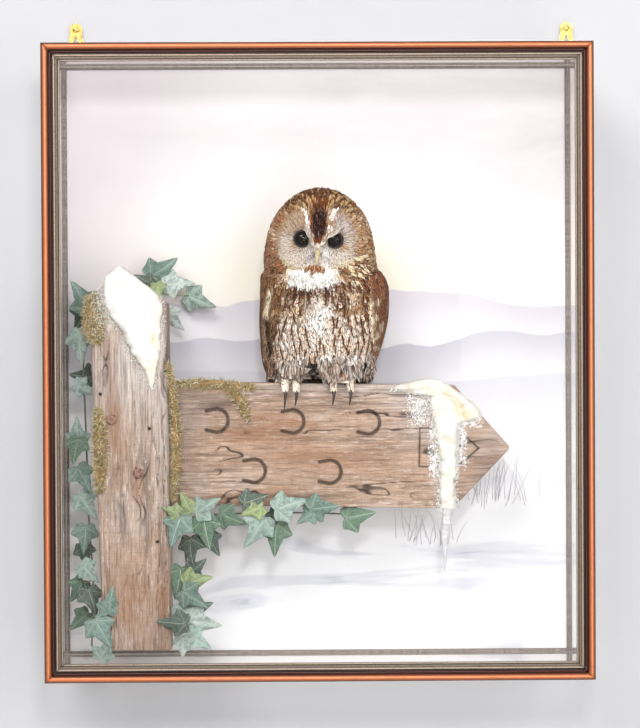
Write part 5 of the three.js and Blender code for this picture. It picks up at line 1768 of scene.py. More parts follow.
def head_marks(p, luck=0.5):
    """Hood: dark spotted crown, warm left side, creamier right side, dark edge to the face."""
    h = to_head(p)
    x, y, z = parts(h)
    luck = luck + 0 * x
    m = Marks(len(p), settings().owl.hood, "6a4a36", 0.1, 0.35)
    spots = lumps(p, 7, 71) + 1.5 * (luck - 0.5)
    broad = lumps(p, 15, 73) + 0.8 * (luck - 0.5)
    left = smooth(x, 8, -20)
    m.layer(left * 0.85, "b08162", "6e4836", 0.1, 0.35)
    m.layer(left * smooth(spots, 0.0, 0.5) * 0.9, "e2cbae", "7d5036", 0.08, 0.2)
    m.layer(left * smooth(broad, 0.15, 0.6) * 0.6, "84502f", "472a1c", 0.25)
    m.layer((1 - left) * smooth(spots, -0.1, 0.4) * 0.95, "ecdcc2", "8a5f40", 0.05, 0.15)
    m.layer((1 - left) * smooth(broad, 0.2, 0.6) * 0.7, "a06a3e", "5c3824")
    crown = smooth(z + 0.25 * y, 38, 56) * smooth(np.abs(x), 66, 46)
    white = crown_arms(x, z) * smooth(luck, 0.15, 0.4)
    m.layer(crown * 0.95 * (1 - np.clip(white, 0, 1)), "704729", "3a2216", 0.2, 0.3)
    m.layer(crown * smooth(broad, 0.25, 0.6) * 0.6, "93552c")
    cream = smooth(x, 34, 46) * smooth(x, 80, 68) * smooth(z, 10, -6)
    m.layer(cream * smooth(luck, 0.45, 0.6), "efe0bf", "7d4d2c", 0.10, 0.1)
    m.layer(cream * smooth(luck, 0.4, 0.25) * 0.7, "8a5c3c")
    m.layer(smooth(x, -40, -52) * smooth(z, 4, -12) * 0.6, "b58c66", "5a3826", 0.3, 0.6)
    face = smooth(y, -5, -20)
    edge = bump_at(disc_radius(h), 1.06, 0.05) * face
    m.layer(edge * left * (0.3 + luck), "8f5330", "4a2a1b", 0.2, 0.2)
    m.layer(edge * (1 - left) * smooth(z, 60, 30) * 0.5, "b98a5c")
    m.layer(near_line(x, z, 45, -4, 33, -21, 4.0) * 1.3 * face, "4e2b20", "2b1713", 0.3, 0.0)
    m.layer(blob(x, z, -47, -13, 6, 6) * face, "a9622f", "5b3018", 0.3, 0.0)
    away, inner = np.abs(x), crown_edge(z)
    stripe = smooth(away, inner + 1.5 + 4 * (luck - 0.5), inner - 1.0) * face
    stripe = stripe * smooth(z, 7, 10) * smooth(z, 78, 62)
    m.layer(stripe, "8a522e", "44230f", 0.2, 0.0)
    core = smooth(away, inner - 1.5, inner - 4.5) * stripe * smooth(z, 17, 25) * smooth(z, 74, 54)
    m.layer(core * 1.15, "3a1c10", "200e08", 0.2, 0.0)
    flecks = crown * smooth(luck + 0.25 * spots, 0.66, 0.8) * (1 - core)
    m.layer(flecks * 0.9, "c8a67a", "6a4528", 0.1, 0.1)
    m.layer(white * (0.5 + 1.2 * luck) * face * (1 - stripe), "fffaf2", "a5805c", 0.0, 0.0)
    m.layer(smooth(z, -25, -31) * face * smooth(np.abs(x + 6), 44, 34), "f7f0e6", "e2d5c4", 0.0, 0.0)
    m.layer(smooth(y, 0, 20) * smooth(z, 60, 30) * 0.7, "936540", "44291d", 0.35, 0.8)
    return m


def disc_marks(p, luck=0.5):
    """Facial discs: greyer above, pale below, warm spots under the eyes, painted shade beside the bill."""
    h = to_head(p)
    x, z = h[:, 0], h[:, 2]
    luck = luck + 0 * x
    m = Marks(len(p), settings().owl.disc, "a38f7f", 0.08, 0.3)
    upper = smooth(z, 20, 32)
    m.layer(upper * smooth(x, 5, -5), "c9b59f", "94785f", 0.12, 0.4)
    m.layer(upper * smooth(x, -5, 5), "d2c8c4", "9d8a7f", 0.12, 0.4)
    m.layer(upper * blob(x, z, 17, 44, 7, 12) * 0.8, "b98a5e")
    m.layer(upper * blob(x, z, -20, 44, 7, 12) * 0.7, "b08a68")
    m.layer(blob(x, z, -33, 10, 6, 5) * 0.9, "cfa068")
    m.layer(blob(x, z, 35, 9, 6, 5) * 0.9, "d2a468")
    m.layer(blob(x, z, 31, 29, 5, 4) * 0.8, "b97b46")
    dots = smooth(lumps(p, 2.4, 81) + 1.2 * (luck - 0.5), 0.35, 0.65)
    m.layer(dots * (0.5 + 0.25 * upper), "866a54")
    m.layer(smooth(z, 4, -10) * 0.5, "ebe2d8")
    left, right = (np.hypot(x - s * EYE_SPREAD, z - EYE_RISE) for s in (-1, 1))
    m.layer(smooth(np.minimum(left, right), 14.5, 11.5) * 0.7, "8a7466")
    # Painted shade on both sides of the bill's root.
    m.layer((blob(x, z, -7, 9, 3, 4) + blob(x, z, 7, 8, 3, 4)) * 0.8, "8d8078", "6f635c", None, 0.0)
    m.layer(blob(x, z, -10, -3, 6, 11) * 1.1, "cdc6c0", "b5aca5", 0.0, 0.0)
    m.layer(blob(x, z, 11, -4, 7, 11) * 1.1, "ece6e0", "cbc2ba", 0.0, 0.0)
    rim = smooth(disc_radius(h), 0.86, 0.98)
    m.layer(rim * smooth(z, 0, -12) * 0.7, "ecdcb4")
    m.layer(rim * smooth(z, -4, 8) * (0.3 + 0.6 * luck), "a98560")
    m.layer(crown_arms(x, z) * smooth(luck, 0.25, 0.5), "fffaf2", "a5805c", 0.0, 0.0)
    return m


def brow_marks(p, luck=0.5):
    """Pale brows, mottled grey-brown."""
    m = Marks(len(p), "e2d8cc", "b7a695", 0.05, 0.0)
    return m.layer(smooth(lumps(p, 3, 83) + luck - 0.5, 0.0, 0.4) * 0.7, "ad9983")


# ---- Feathers ----


def vanes(shell, root, lie, length, wide, rise, rows, marks, luck, spans=2, ragged=0.12, arch=0.1,
          tip=0.3, taper=0.55, stem=0.35, height=0.0, hang=0.0):
    """Many feathers at once, each a thin closed blade draped along the bird.

    A blade runs from its root along `lie`. Its half width grows from `stem` of the whole to full at
    `taper` of the length and rounds off to `tip`. `rise` gives its level at the root and at the end, as
    parts of the coat's depth, and `height` lifts it by millimetres. `arch` lowers its edges, `ragged` cuts
    its end unevenly, and `hang` lets it fall straight instead of following the form.
    """
    n = len(root)
    length, wide, height = (np.broadcast_to(v, (n,))[:, None, None] for v in (length, wide, height))
    u = np.concatenate([np.linspace(-1, 1, spans + 1), [0.0]])[None, None, :]
    s = np.linspace(0, 1, rows)[None, :, None]
    rng = np.random.default_rng(len(root) * 31 + rows)
    cut = rng.uniform(-1, 1, (n, 1, spans + 2)) * ragged
    cut[:, :, -1] = cut[:, :, spans // 2]
    along = s * (1 - 0.16 * u**2 + cut * smooth(s, 0.3, 1.0))
    before = stem + (1 - stem) * np.sin(0.5 * math.pi * np.clip(s / taper, 0, 1))
    past = np.clip(s - taper, 0, 1) / (1.0 - taper)
    after = np.sqrt(np.clip(1 - (past * math.sqrt(1 - tip**2)) ** 2, 0, 1))
    half = 0.5 * wide * before * after
    _, normal, _ = leaning(root, bird_form)
    lie = unit(lie - (1 - hang) * normal * np.einsum("ij,ij->i", lie, normal)[:, None])
    side = unit(np.cross(normal, lie))
    p = root[:, None, None, :] + lie[:, None, None, :] * (length * along)[..., None]
    p = p + side[:, None, None, :] * (u * half)[..., None]
    level = rise[0] + (rise[1] - rise[0]) * s + 0 * u + 0 * length
    drop = -arch * 2 * half * u**2 + height
    sunk = (1 - level) * settings().owl.coat / MM
    falling = p + normal[:, None, None, :] * (drop + 2.0 * s - sunk)[..., None]
    p, up = drape(p, 1 - level, drop)
    if hang:
        p = p + (falling - p) * hang
        up = normal[:, None, None, :] + 0 * p
    thick = np.zeros((1, 1, spans + 2))
    thick[..., -1] = 0.55
    p = p - up * (thick * (0.35 + 0.65 * smooth(s, 1.0, 0.6)))[..., None]
    m = spans + 2
    quads = grid_quads(rows, m, wrap=True)
    caps = []
    for first in range(0, spans, 2):
        pair = [first, first + 1, first + 2, spans + 1]
        caps.append(pair[::-1])
        caps.append([(rows - 1) * m + i for i in pair])
    quads = np.concatenate([quads, np.array(caps)])
    every = (quads[None] + (np.arange(n) * rows * m)[:, None, None]).reshape(-1, 4)
    shape = (n, rows, m)
    across, down = (np.broadcast_to(v, shape) for v in (u, s))
    pattern = np.stack([marks.streak, marks.bars, luck], -1)
    data = {key: np.broadcast_to(v[:, None, None], shape + (3,)).reshape(-1, 3)
            for key, v in (("ground", marks.ground), ("mark", marks.mark), ("pattern", pattern))}
    flat = unwrap(root)[:, None, None, :] + 0.003 * np.stack([0.5 * across, down - 0.5], -1)
    vane = np.stack([0.5 + 0.5 * across, down], -1)
    shell.add(p + BIRD, every, vane=vane.reshape(-1, 2), OFBake=flat.reshape(-1, 2), **data)


def part_of(p):
    """Which form lies nearest: 0 trunk, 1 head, 2 wings, 3 tail, 4 legs."""
    forms = [trunk_form(p), head_form(p), np.minimum(wing_form(p, -1), wing_form(p, 1)), tail_form(p),
             np.minimum(leg_form(p, LEGS[0]), leg_form(p, LEGS[1]))]
    return np.argmin(np.stack(forms), 0)


def close_in(p, outward, rounds, rate=0.9, most=8):
    """Moves points towards the bird, against the way outwards from each, until they lie on its outline."""
    for _ in range(rounds):
        p = p - outward(p) * np.clip(bird_form(p), -most, most)[:, None] * rate
    return p


def rings_down(top, bottom, row_gap, gap, rng):
    """Roots in rows down the body, staggered from row to row, found by closing in on the outline."""
    found = []
    for i, z in enumerate(np.arange(top, bottom, -row_gap)):
        cx, wide = stations(TRUNK, np.array([max(z, 20.0)]))[:2, 0]
        count = int(2 * math.pi * (wide + 8) / gap)
        angle = staggered(count, i, rng.uniform(-0.22, 0.22, count))
        r = wide + 25
        level = z + rng.uniform(-0.25, 0.25, count) * row_gap
        found.append(xyz(cx + r * np.cos(angle), r * np.sin(angle), level))
    return close_in(np.concatenate(found), lambda p: unit(p * [1, 1, 0] - [1, 0, 0]), 14)


def coat_finish():
    """One finish for every feather: shaft streak, cross bars, fine barbs, a paler fringe and painted shade
    towards the root.
    """
    f = Finish("plumage_coat")
    split = f.split(f.node("UVMap", uv_map="vane").outputs[0])
    across = f.maths("ABSOLUTE", f.minus(f.times(split[0], 2.0), 1.0))
    along = split[1]
    streak, bars, luck = f.split(f.attribute("pattern", "Color"))[:3]
    ground = f.attribute("ground", "Color")
    mark = f.attribute("mark", "Color")
    barb_line = f.minus(f.times(along, 22.0), f.times(across, 8.0))
    barb_at = f.node("CombineXYZ", {0: barb_line, 1: f.times(across, 1.5), 2: f.times(luck, 40.0)})
    barbs = f.noise(barb_at.outputs[0], 1.0, 3, 0.6)
    wander = f.noise(f.where(), 330, 3, 0.6)
    glint = f.node("HueSaturation", {"Value": 1.22, "Saturation": 0.95, "Color": ground}).outputs[0]
    tone = f.blend(f.step(barbs, 0.38, 0.60), f.blend(0.16, ground, mark), glint)
    warm = f.blend(0.45, mark, f.blend(0.75, ground, "8a4722"))
    wave = f.plus(f.times(along, 27.0), f.times(across, -4.5))
    wave = f.maths("SINE", f.plus(wave, f.plus(f.times(luck, 20.0), f.times(wander, 6.0))))
    bar_mask = f.times(f.step(wave, 0.25, 0.8), f.times(bars, f.step(wander, 0.34, 0.5)))
    tone = f.blend(bar_mask, tone, warm)
    reach = f.times(streak, f.plus(0.55, f.times(wander, 0.9)))
    gap = f.minus(reach, across)
    streak_mask = f.times(f.step(gap, -0.05, 0.05), f.step(streak, 0.01, 0.05))
    tone = f.blend(streak_mask, tone, mark)
    fringe = f.times(f.step(f.most(across, along), 0.80, 1.0), 0.3)
    tone = f.blend(fringe, tone, f.blend(0.5, glint, (1, 1, 1, 1)))
    # Painted shade: each feather darkens towards its root, where the feathers over it would shade it.
    deep = f.times(f.step(along, 0.3, 0.0), 0.35)
    tone = f.blend(deep, tone, f.blend(0.65, ground, mark))
    bright = f.plus(1.12, f.times(f.minus(luck, 0.5), 0.2))
    lit = f.node("HueSaturation", {"Value": bright, "Saturation": 1.08, "Color": tone}).outputs[0]
    return f.surface(Base_Color=lit, Roughness=0.8, Specular_IOR_Level=0.05, Normal=f.bump(barbs, 0.00035))


def build_skin():
    """The skin: the level surface of the form under the coat, found cell by cell.

    Each cell of a regular lattice that the surface crosses gets one point at the mean of the crossings on
    its edges, and each lattice edge that crosses joins the four cells round it by a quad.
    """
    step = 2.6
    low = np.array([-104.0, -92.0, -86.0])
    size = np.ceil((np.array([106.0, 78.0, 282.0]) - low) / step).astype(int)
    axes = [low[k] + step * np.arange(size[k]) for k in range(3)]
    at = np.stack(np.meshgrid(*axes, indexing="ij"), -1)
    value = bird_form(at, under=1.0)
    inside = value < 0
    total = np.zeros(tuple(size - 1) + (3,))
    count = np.zeros(tuple(size - 1))
    cut = []
    for k in range(3):
        a = tuple(slice(0, -1) if i == k else slice(None) for i in range(3))
        b = tuple(slice(1, None) if i == k else slice(None) for i in range(3))
        crossing = inside[a] != inside[b]
        t = value[a] / np.where(crossing, value[a] - value[b], 1)
        spot = at[a].copy()
        spot[..., k] += t * step
        cut.append((crossing, inside[a]))
        for offset in np.ndindex(*[1 if i == k else 2 for i in range(3)]):
            shifted = [slice(1 - o, n - o) for o, n in zip(offset, size)]
            shifted[k] = slice(None)
            pick = tuple(shifted)
            total += np.where(crossing[pick][..., None], spot[pick], 0)
            count += crossing[pick]
    used = count > 0
    index = np.full(used.shape, -1)
    index[used] = np.arange(used.sum())
    verts = total[used] / count[used][:, None]
    quads = []
    for k in range(3):
        crossing, first_in = cut[k]
        others = [i for i in range(3) if i != k]
        place = np.argwhere(crossing)
        ok = (place[:, others] > 0).all(1) & (place[:, others] < (size - 1)[others]).all(1)
        place = place[ok]
        cells = []
        for da, db in ((0, 0), (1, 0), (1, 1), (0, 1)):
            cell = place.copy()
            cell[:, others] -= (da, db)
            cells.append(index[tuple(cell.T)])
        quad = np.stack(cells, -1)
        turned = first_in[tuple(place.T)] ^ (k == 1)
        quads.append(np.where(turned[:, None], quad, quad[:, ::-1]))
    quads = np.concatenate(quads)
    verts, _ = drape(verts, 1.0, 0.0, rounds=2)
    part = part_of(verts)
    marks = body_marks(verts)
    disc = near_face(verts) > 0.5
    for chosen, marks_of in ((part == 1, head_marks), (part == 2, wing_marks), (disc, disc_marks)):
        other = marks_of(verts)
        marks.ground[chosen] = other.ground[chosen]
        marks.mark[chosen] = other.mark[chosen]
    shell = Shell()
    shell.add(verts + BIRD, quads, ground=marks.ground, mark=marks.mark, OFBake=unwrap(verts))
    f = Finish("skin_down")
    down = f.noise(f.where(), 300, 4, 0.6)
    tone = f.blend(f.step(down, 0.4, 0.65), f.attribute("ground", "Color"), f.attribute("mark", "Color"))
    tone = f.blend(0.35, tone, "3a2c25")
    finish = f.surface(Base_Color=tone, Roughness=0.9, Normal=f.bump(down, 0.0006))
    skin = shell.build("owl_skin", finish, uv=("OFBake",))
    layer = skin.data.uv_layers["OFBake"]
    uv = np.empty(len(layer.data) * 2)
    layer.data.foreach_get("uv", uv)
    uv = uv.reshape(-1, 4, 2)
    across_seam = (np.ptp(uv[..., 0], axis=1) > 0.5)[:, None] & (uv[..., 0] < 0.5)
    uv[..., 0] += across_seam
    layer.data.foreach_set("uv", uv.ravel())
    return skin


def on_trunk(p):
    """Which of the roots lie on the trunk, or on the head where it passes into the neck."""
    part = part_of(p)
    return ((part == 0) | ((part == 1) & ((to_head(p)[:, 2] < -22) | (p[:, 1] > 0)))) & (p[:, 2] < 172)


def coat_body(shell):
    """Broad feathers in staggered rows, the ground for the finer plumes."""
    rng = np.random.default_rng(5)
    p = rings_down(176, 14, 9.5, 10.5, rng)
    p = p[on_trunk(p)]
    luck = rng.random(len(p))
    size = np.interp(p[:, 2], [20, 60, 130, 170], [0.95, 1.05, 0.88, 0.7]) * rng.uniform(0.85, 1.15, len(p))
    vanes(
        shell, p, down_the_body(p, 0.16, rng), 27 * size, 17 * size, (0.3, 0.7), 6,
        body_marks(p + [0, 0, -18], luck), luck, spans=4, tip=0.6, taper=0.7, arch=0.02
    )


def down_the_body(p, spread, rng):
    """The lie of the plumage: down, drawing in towards the middle in front."""
    lie = xyz(-0.30 * p[:, 0] / 60 * smooth(p[:, 1], 20, -20), 0, -1)
    lie[:, :2] += rng.normal(0, spread, (len(p), 2))
    return lie


def coat_plumes(shell):
    """Fine soft plumes all over the trunk, raised in rounded lobes, hanging free at the belly's edge."""
    rng = np.random.default_rng(12)
    p = rings_down(172, 12, 3.7, 4.0, rng)
    p = p[on_trunk(p) & (p[:, 1] < 40)]
    luck = rng.random(len(p))
    size = np.interp(p[:, 2], [20, 60, 130, 170], [1.2, 1.15, 0.9, 0.8]) * rng.uniform(0.8, 1.25, len(p))
    loft = 1.5 * lumps(p, 9, 31) + rng.uniform(-0.3, 0.4, len(p))
    vanes(
        shell, p, down_the_body(p, 0.30, rng), 13 * size, 4.2 * size, (0.6, 1.0), 5,
        body_marks(p + [0, 0, -9], luck), luck, tip=0.25, taper=0.5, ragged=0.2, arch=0.06,
        height=loft
    )
    p = rings_down(56, 14, 4.2, 4.6, rng)
    p = p[(p[:, 1] < 36) & (np.abs(p[:, 0] - 1) < 78) & (np.abs(p[:, 0] + 14) > 9 + 0.1 * (56 - p[:, 2]))]
    luck = rng.random(len(p))
    lie = xyz(rng.normal(0, 0.14, len(p)), rng.normal(0, 0.05, len(p)) + 0.12, -1)
    reach = np.minimum(24, p[:, 2] + 1) * rng.uniform(0.85, 1.1, len(p))
    marks = body_marks(np.maximum(p + [0, 0, -12], [-200, -200, 16]), luck)
    marks.layer(smooth(np.abs(p[:, 0] - 1), 60, 74) * smooth(luck, 0.3, 0.6), "b59a80", "6a4a34")
    height = 1.2 * lumps(p, 9, 35) - 2.0 * smooth(p[:, 2], 38, 56)
    vanes(
        shell, p, lie, reach, rng.uniform(3.5, 6.5, len(p)), (0.3, 1.0), 6, marks, luck,
        ragged=0.2, tip=0.25, taper=0.6, arch=0.06, height=height, hang=0.7
    )


def coat_streaks(shell):
    """Staggered rows of dark shaft streaks, pale lobes beside them, and thin bars out to both sides."""
    rng = np.random.default_rng(13)
    p = rings_down(140, 18, 14, 12.5, rng)
    white = (np.abs(p[:, 0] + 4) < 18) & (p[:, 2] > 70) & (p[:, 2] < 116) | (rng.random(len(p)) < 0.2)
    p = p[on_trunk(p) & (p[:, 1] < 5) & ~white & (np.abs(p[:, 0] + 14) + 0.5 * p[:, 2] > 23)]
    n = len(p)
    luck = rng.random(n)
    lie = down_the_body(p, 0.2, rng) + xyz(0.5 * p[:, 0] / 60, 0, 0)
    high = smooth(p[:, 2], 80, 110)
    length = rng.uniform(13, 20, n) + 6 * (1 - high)
    for side in (-1, 1):
        for at in (0.02, 0.45):
            pale = smooth(p[:, 2], 50, 142) < rng.uniform(0.12, 1.0, n)
            root = (p + unit(lie) * (length * at)[:, None] + [3.4 * side, 0, 0])[pale]
            few = len(root)
            tone = rng.random(few)
            marks = Marks(few, "f7efe6", "b8997e", 0.3, 0.0).layer(smooth(tone, 0.45, 0.9), "e2d0bd")
            vanes(
                shell, root, lie[pale] + [0.2 * side, 0, 0], rng.uniform(8, 11, few),
                rng.uniform(5.4, 7.2, few), (0.9, 1.15), 5, marks, tone, spans=4, tip=0.75, taper=0.5,
                stem=0.45, ragged=0.16, arch=0.12, height=0.55
            )
    marks = Marks(n, "573b2b", "3a261b", 0.2, 0.0)
    marks.layer(high, "5e3c2c", "38221a")
    vanes(
        shell, p, lie, length, 1.5 + 0.9 * high + 0.7 * luck, (1.0, 1.2), 6, marks, luck,
        tip=0.3, taper=0.4, ragged=0.1, height=1.3
    )
    for side in (-1, 1):
        for at in (0.3, 0.75):
            root = p + unit(lie) * (length * (at + rng.uniform(-0.08, 0.08, n)))[:, None]
            out = xyz(side * 0.9, 0, -0.35 + rng.normal(0, 0.25, n))
            marks = Marks(n, "b08a6c", "80583e", 0.1, 0.0)
            marks.layer(high, "8a5c3e", "503222")
            vanes(
                shell, root, out, rng.uniform(3.5, 7.5, n), 1.1 + 0.6 * high + 0.4 * luck, (1.0, 1.15), 4,
                marks, luck, tip=0.2, taper=0.4, ragged=0.1, height=1.15
            )


def coat_wings(shell):
    """Broad coverts in staggered rows on the folded wings, with small soft ones over them."""
    rng = np.random.default_rng(6)
    p = rings_down(174, 14, 7.6, 8.4, rng)
    p = p[part_of(p) == 2]
    luck = rng.random(len(p))
    marks = wing_marks(p + [0, 0, -12], luck)
    lie = xyz(rng.normal(0, 0.08, len(p)), 0.30, -1)
    size = np.interp(p[:, 2], [20, 80, 130, 170], [1.25, 1.15, 0.9, 0.7]) * rng.uniform(0.88, 1.12, len(p))
    vanes(
        shell, p, lie, 27 * size, 14.5 * size, (0.4, 0.9), 6, marks, luck, spans=4, ragged=0.07, tip=0.45,
        taper=0.6, arch=0.05
    )
    p = rings_down(174, 30, 4.2, 4.4, rng)
    p = p[part_of(p) == 2]
    luck = rng.random(len(p))
    lie = xyz(rng.normal(0, 0.16, len(p)), 0.25, -1)
    vanes(
        shell, p, lie, rng.uniform(9, 16, len(p)), rng.uniform(3.0, 5.0, len(p)), (0.7, 1.25), 4,
        wing_marks(p + [0, 0, -8], luck), luck, tip=0.3, taper=0.5, ragged=0.2, arch=0.05,
        height=0.6
    )


def coat_flight(shell):
    """Flight feathers of the folded wings and the tail: long barred vanes laid one over another."""
    rng = np.random.default_rng(7)
    long_vane = dict(ragged=0.02, taper=0.3, stem=0.7, spans=6)
    count = 15
    t = np.linspace(0, 1, count)
    out, back, chord, thick, turn, camber = stations(WING, 62 - 54 * t)
    turn = np.radians(turn)
    along = 0.80 - 1.45 * t
    lift = thick * 1.2 - camber * along**2
    for side in (-1, 1):
        middle = stations(TRUNK, np.maximum(62 - 54 * t, 17))[0]
        x = middle + side * (out + along * chord * np.sin(turn) + lift * np.cos(turn))
        p = xyz(x, back - along * chord * np.cos(turn) + lift * np.sin(turn), 62 - 54 * t)
        lie = xyz(-side * (0.25 + 0.25 * t), 0.42 + 0.12 * t, -1)
        marks = Marks(count, "a57a4e", "3b2418", 0.06, 0.95)
        marks.layer(smooth(t, 0.4, 0.0) * 0.7, "6b4630")
        vanes(
            shell, p, lie, 62 - 20 * np.abs(t - 0.4), 17, (0.7, 1.0), 16, marks, rng.random(count),
            tip=0.35, height=0.3, **long_vane
        )
    count = 12
    t = np.linspace(-1, 1, count)
    lie = xyz(0.14 * t, 0, -1)
    under = (46, 22, 96, "a5764c", "42291d", 0.9)
    over = (34, 14, 88, "bfa488", "6b5140", 0.8)
    for y, z, length_, tone, dark, level in (under, over):
        p = xyz(-3 + 17 * t, y - 3 * np.abs(t), z)
        vanes(
            shell, p, lie, length_ - 6 * np.abs(t), 13, (level, level + 0.2), 16,
            Marks(count, tone, dark, 0.05, 0.9), rng.random(count), tip=0.5, height=0.2, **long_vane
        )


def head_rings(first, last, gap, spread, rng):
    """Roots in rings about the way the face looks, from one angle to another in degrees."""
    found = []
    radius = 74.0
    for i, angle in enumerate(np.arange(math.radians(first), math.radians(last), gap / radius)):
        count = max(6, int(2 * math.pi * radius * math.sin(angle) / spread))
        turn = staggered(count, i, rng.uniform(-0.25, 0.25, count))
        tip = angle + rng.uniform(-0.25, 0.25, count) * gap / radius
        found.append(100 * xyz(np.sin(tip) * np.cos(turn), -np.cos(tip), np.sin(tip) * np.sin(turn)))
    centre = np.array([0, 0, 6.0])
    middle = from_head(centre)
    p = from_head(np.concatenate(found) + centre)
    return close_in(p, lambda p: unit(p - middle), 16, 0.85, 10)


def coat_head(shell):
    """Feathers that fan out from the face, up over the crown and down the nape."""
    rng = np.random.default_rng(8)
    p = head_rings(2, 172, 3.7, 3.5, rng)
    h = to_head(p)
    r = disc_radius(h)
    wedge = (np.abs(h[:, 0]) < crown_edge(h[:, 2]) + 5) & (h[:, 2] > 8)
    keep = ((r > 1.0) | (h[:, 1] > -12) | wedge) & (h[:, 2] > -38) & (part_of(p) != 2)
    p, h, r = p[keep], h[keep], r[keep]
    wedge = wedge[keep] & (h[:, 1] < -20) & (h[:, 2] < 70)
    radial = unit(xyz(h[:, 0], 0, h[:, 2] - 8))
    back = smooth(h[:, 1], -20, 30)
    lie = radial * (1 - back)[:, None] + back[:, None] * np.array([0, 0.25, -1.0])
    lie[:, 1] += 0.9 * (1 - back) * smooth(h[:, 1], -50, -10)
    lie = np.where(wedge[:, None], xyz(0.012 * h[:, 0], 0, 1), lie)
    lie = lie @ HEAD_FRAME.T + rng.normal(0, 0.09, p.shape)
    luck = rng.random(len(p))
    marks = head_marks(p + lie * 6, luck)
    size = rng.uniform(0.85, 1.15, len(p)) * np.where(wedge, 0.8, 1.0)
    size = size * np.interp(h[:, 2], [-40, 20], [1.4, 1.0])
    slim = wedge | (marks.ground.mean(1) > 0.6)
    wide = size * np.where(slim, 3.4, 4.8)
    vanes(
        shell, p, lie, 13 * size, wide, (0.45, 1.0), 5, marks, luck, ragged=0.2, arch=0.06,
        height=rng.uniform(-0.4, 1.6, len(p))
    )


def face_point(x, z):
    """Points on the front of the head at the head's own x and z."""
    return close_in(from_head(xyz(x, -70, z)), lambda p: -HEAD_FRAME[:, 1], 12)


def face_tufts(shell, x, z, lie, length_, wide, rise, marks_of, rng, **how):
    """Small slim feathers on the face, with roots and lie in the head's own frame."""
    p = face_point(x, z)
    luck = rng.random(len(p))
    lie = lie @ HEAD_FRAME.T + rng.normal(0, 0.07, p.shape)
    vanes(shell, p, lie, length_, wide, rise, 5, marks_of(p + lie * 4, luck), luck, **how)


def chin_marks(p, luck):
    """Chestnut beard, with every third tuft or so pale."""
    return Marks(len(p), "a0602f", "6b3517", 0.2, 0.0).layer(smooth(luck, 0.55, 0.75), "e6cfae")


def coat_face(shell):
    """Tufts in rings round each eye, then brows, lid edges, stiff hairs by the bill and the beard."""
    rng = np.random.default_rng(9)
    for side in (-1, 1):
        found = []
        for i, radius in enumerate(np.arange(12.4, 62, 2.3)):
            count = int(2 * math.pi * radius / 2.2)
            turn = staggered(count, i, rng.uniform(-0.3, 0.3, count))
            r = radius + rng.uniform(-0.8, 0.8, count)
            found.append(np.stack([side * EYE_SPREAD + r * np.cos(turn), EYE_RISE + r * np.sin(turn)], -1))
        x, z = np.concatenate(found).T
        wedge = (np.abs(x) < crown_edge(z) + 1) & (z > 10)
        keep = (disc_radius(xyz(x, 0, z)) < 1.0) & (side * x > 0.3) & ~wedge
        x, z = x[keep], z[keep]
        lie = unit(xyz(x - side * EYE_SPREAD, 0, z - EYE_RISE))
        lie[:, 2] -= 0.35 * smooth(z, 10, -10)
        far = np.hypot(x - side * EYE_SPREAD, z - EYE_RISE)
        size = np.interp(far, [12, 20, 50], [0.5, 0.85, 1.2]) * rng.uniform(0.8, 1.2, len(x))
        face_tufts(
            shell, x, z, lie, 9.0 * size, 3.0 * size, (0.3, 0.9), disc_marks, rng, tip=0.2, taper=0.4,
            arch=0.08
        )
    for (side, brow), (_, down, gap) in zip(((-1, LEFT_BROW), (1, RIGHT_BROW)), LIDS):
        line = np.array(brow, float)
        t = rng.uniform(0, len(line) - 1.001, 300)
        i = t.astype(int)
        at = line[i] + (t - i)[:, None] * (line[i + 1] - line[i]) + rng.normal(0, 1.3, (300, 2))
        at = at[np.abs(at[:, 0]) > crown_edge(at[:, 1]) + 0.5]
        lie = xyz(side * 0.6, 0, 0.8) + 0 * at[:, :1]
        face_tufts(
            shell, at[:, 0], at[:, 1], lie, rng.uniform(5, 8, len(at)), 2.2, (0.6, 1.1), brow_marks, rng,
            tip=0.12, taper=0.4
        )
        off = rng.uniform(-14, 14, (1400, 2))
        over = off @ down[[0, 2]]
        off = off[(over > gap + 0.6) & (np.hypot(off[:, 0], off[:, 1]) < 14)]
        lie = down + 0 * off[:, :1]
        x, z = off[:, 0] + side * EYE_SPREAD, off[:, 1] + EYE_RISE
        face_tufts(
            shell, x, z, lie, rng.uniform(3.5, 6, len(x)), 1.9, (0.3, 1.0), brow_marks, rng, tip=0.2,
            taper=0.35
        )
    count = 640
    side = np.where(np.arange(count) % 2 == 0, -1, 1)
    t = rng.random(count)
    x = side * (0.8 + 12 * t)
    z = 10 - 14 * t + rng.uniform(-4, 4, count)
    lie = xyz(side * (0.10 + 0.5 * t), -0.25, -0.9)
    face_tufts(
        shell, x, z, lie, rng.uniform(7, 11, count), 1.7, (0.6, 1.05), disc_marks, rng, tip=0.1,
        taper=0.35, height=5 * smooth(t, 0.3, 0.0)
    )
    count = 150
    lock = rng.integers(0, 10, count)
    x = -14.5 + 2.6 * lock + rng.normal(0, 1.0, count)
    z = -16 - 6 * rng.random(count) - 0.018 * (x + 3) ** 2
    lean = 0.03 * (x + 3) + rng.normal(0, 0.22, 10)[lock] + rng.normal(0, 0.12, count)
    lie = xyz(lean, -0.1, -1)
    longest = rng.uniform(6.0, 11.5, 10) * np.array([0.6, 0.8, 1, 1, 1.1, 1, 1.1, 0.9, 0.8, 0.6])
    face_tufts(
        shell, x, z, lie, longest[lock] * rng.uniform(0.6, 1.1, count), rng.uniform(1.0, 1.8, count),
        (0.6, 1.1), chin_marks, rng, tip=0.1, taper=0.35, ragged=0.25, height=2.6
    )


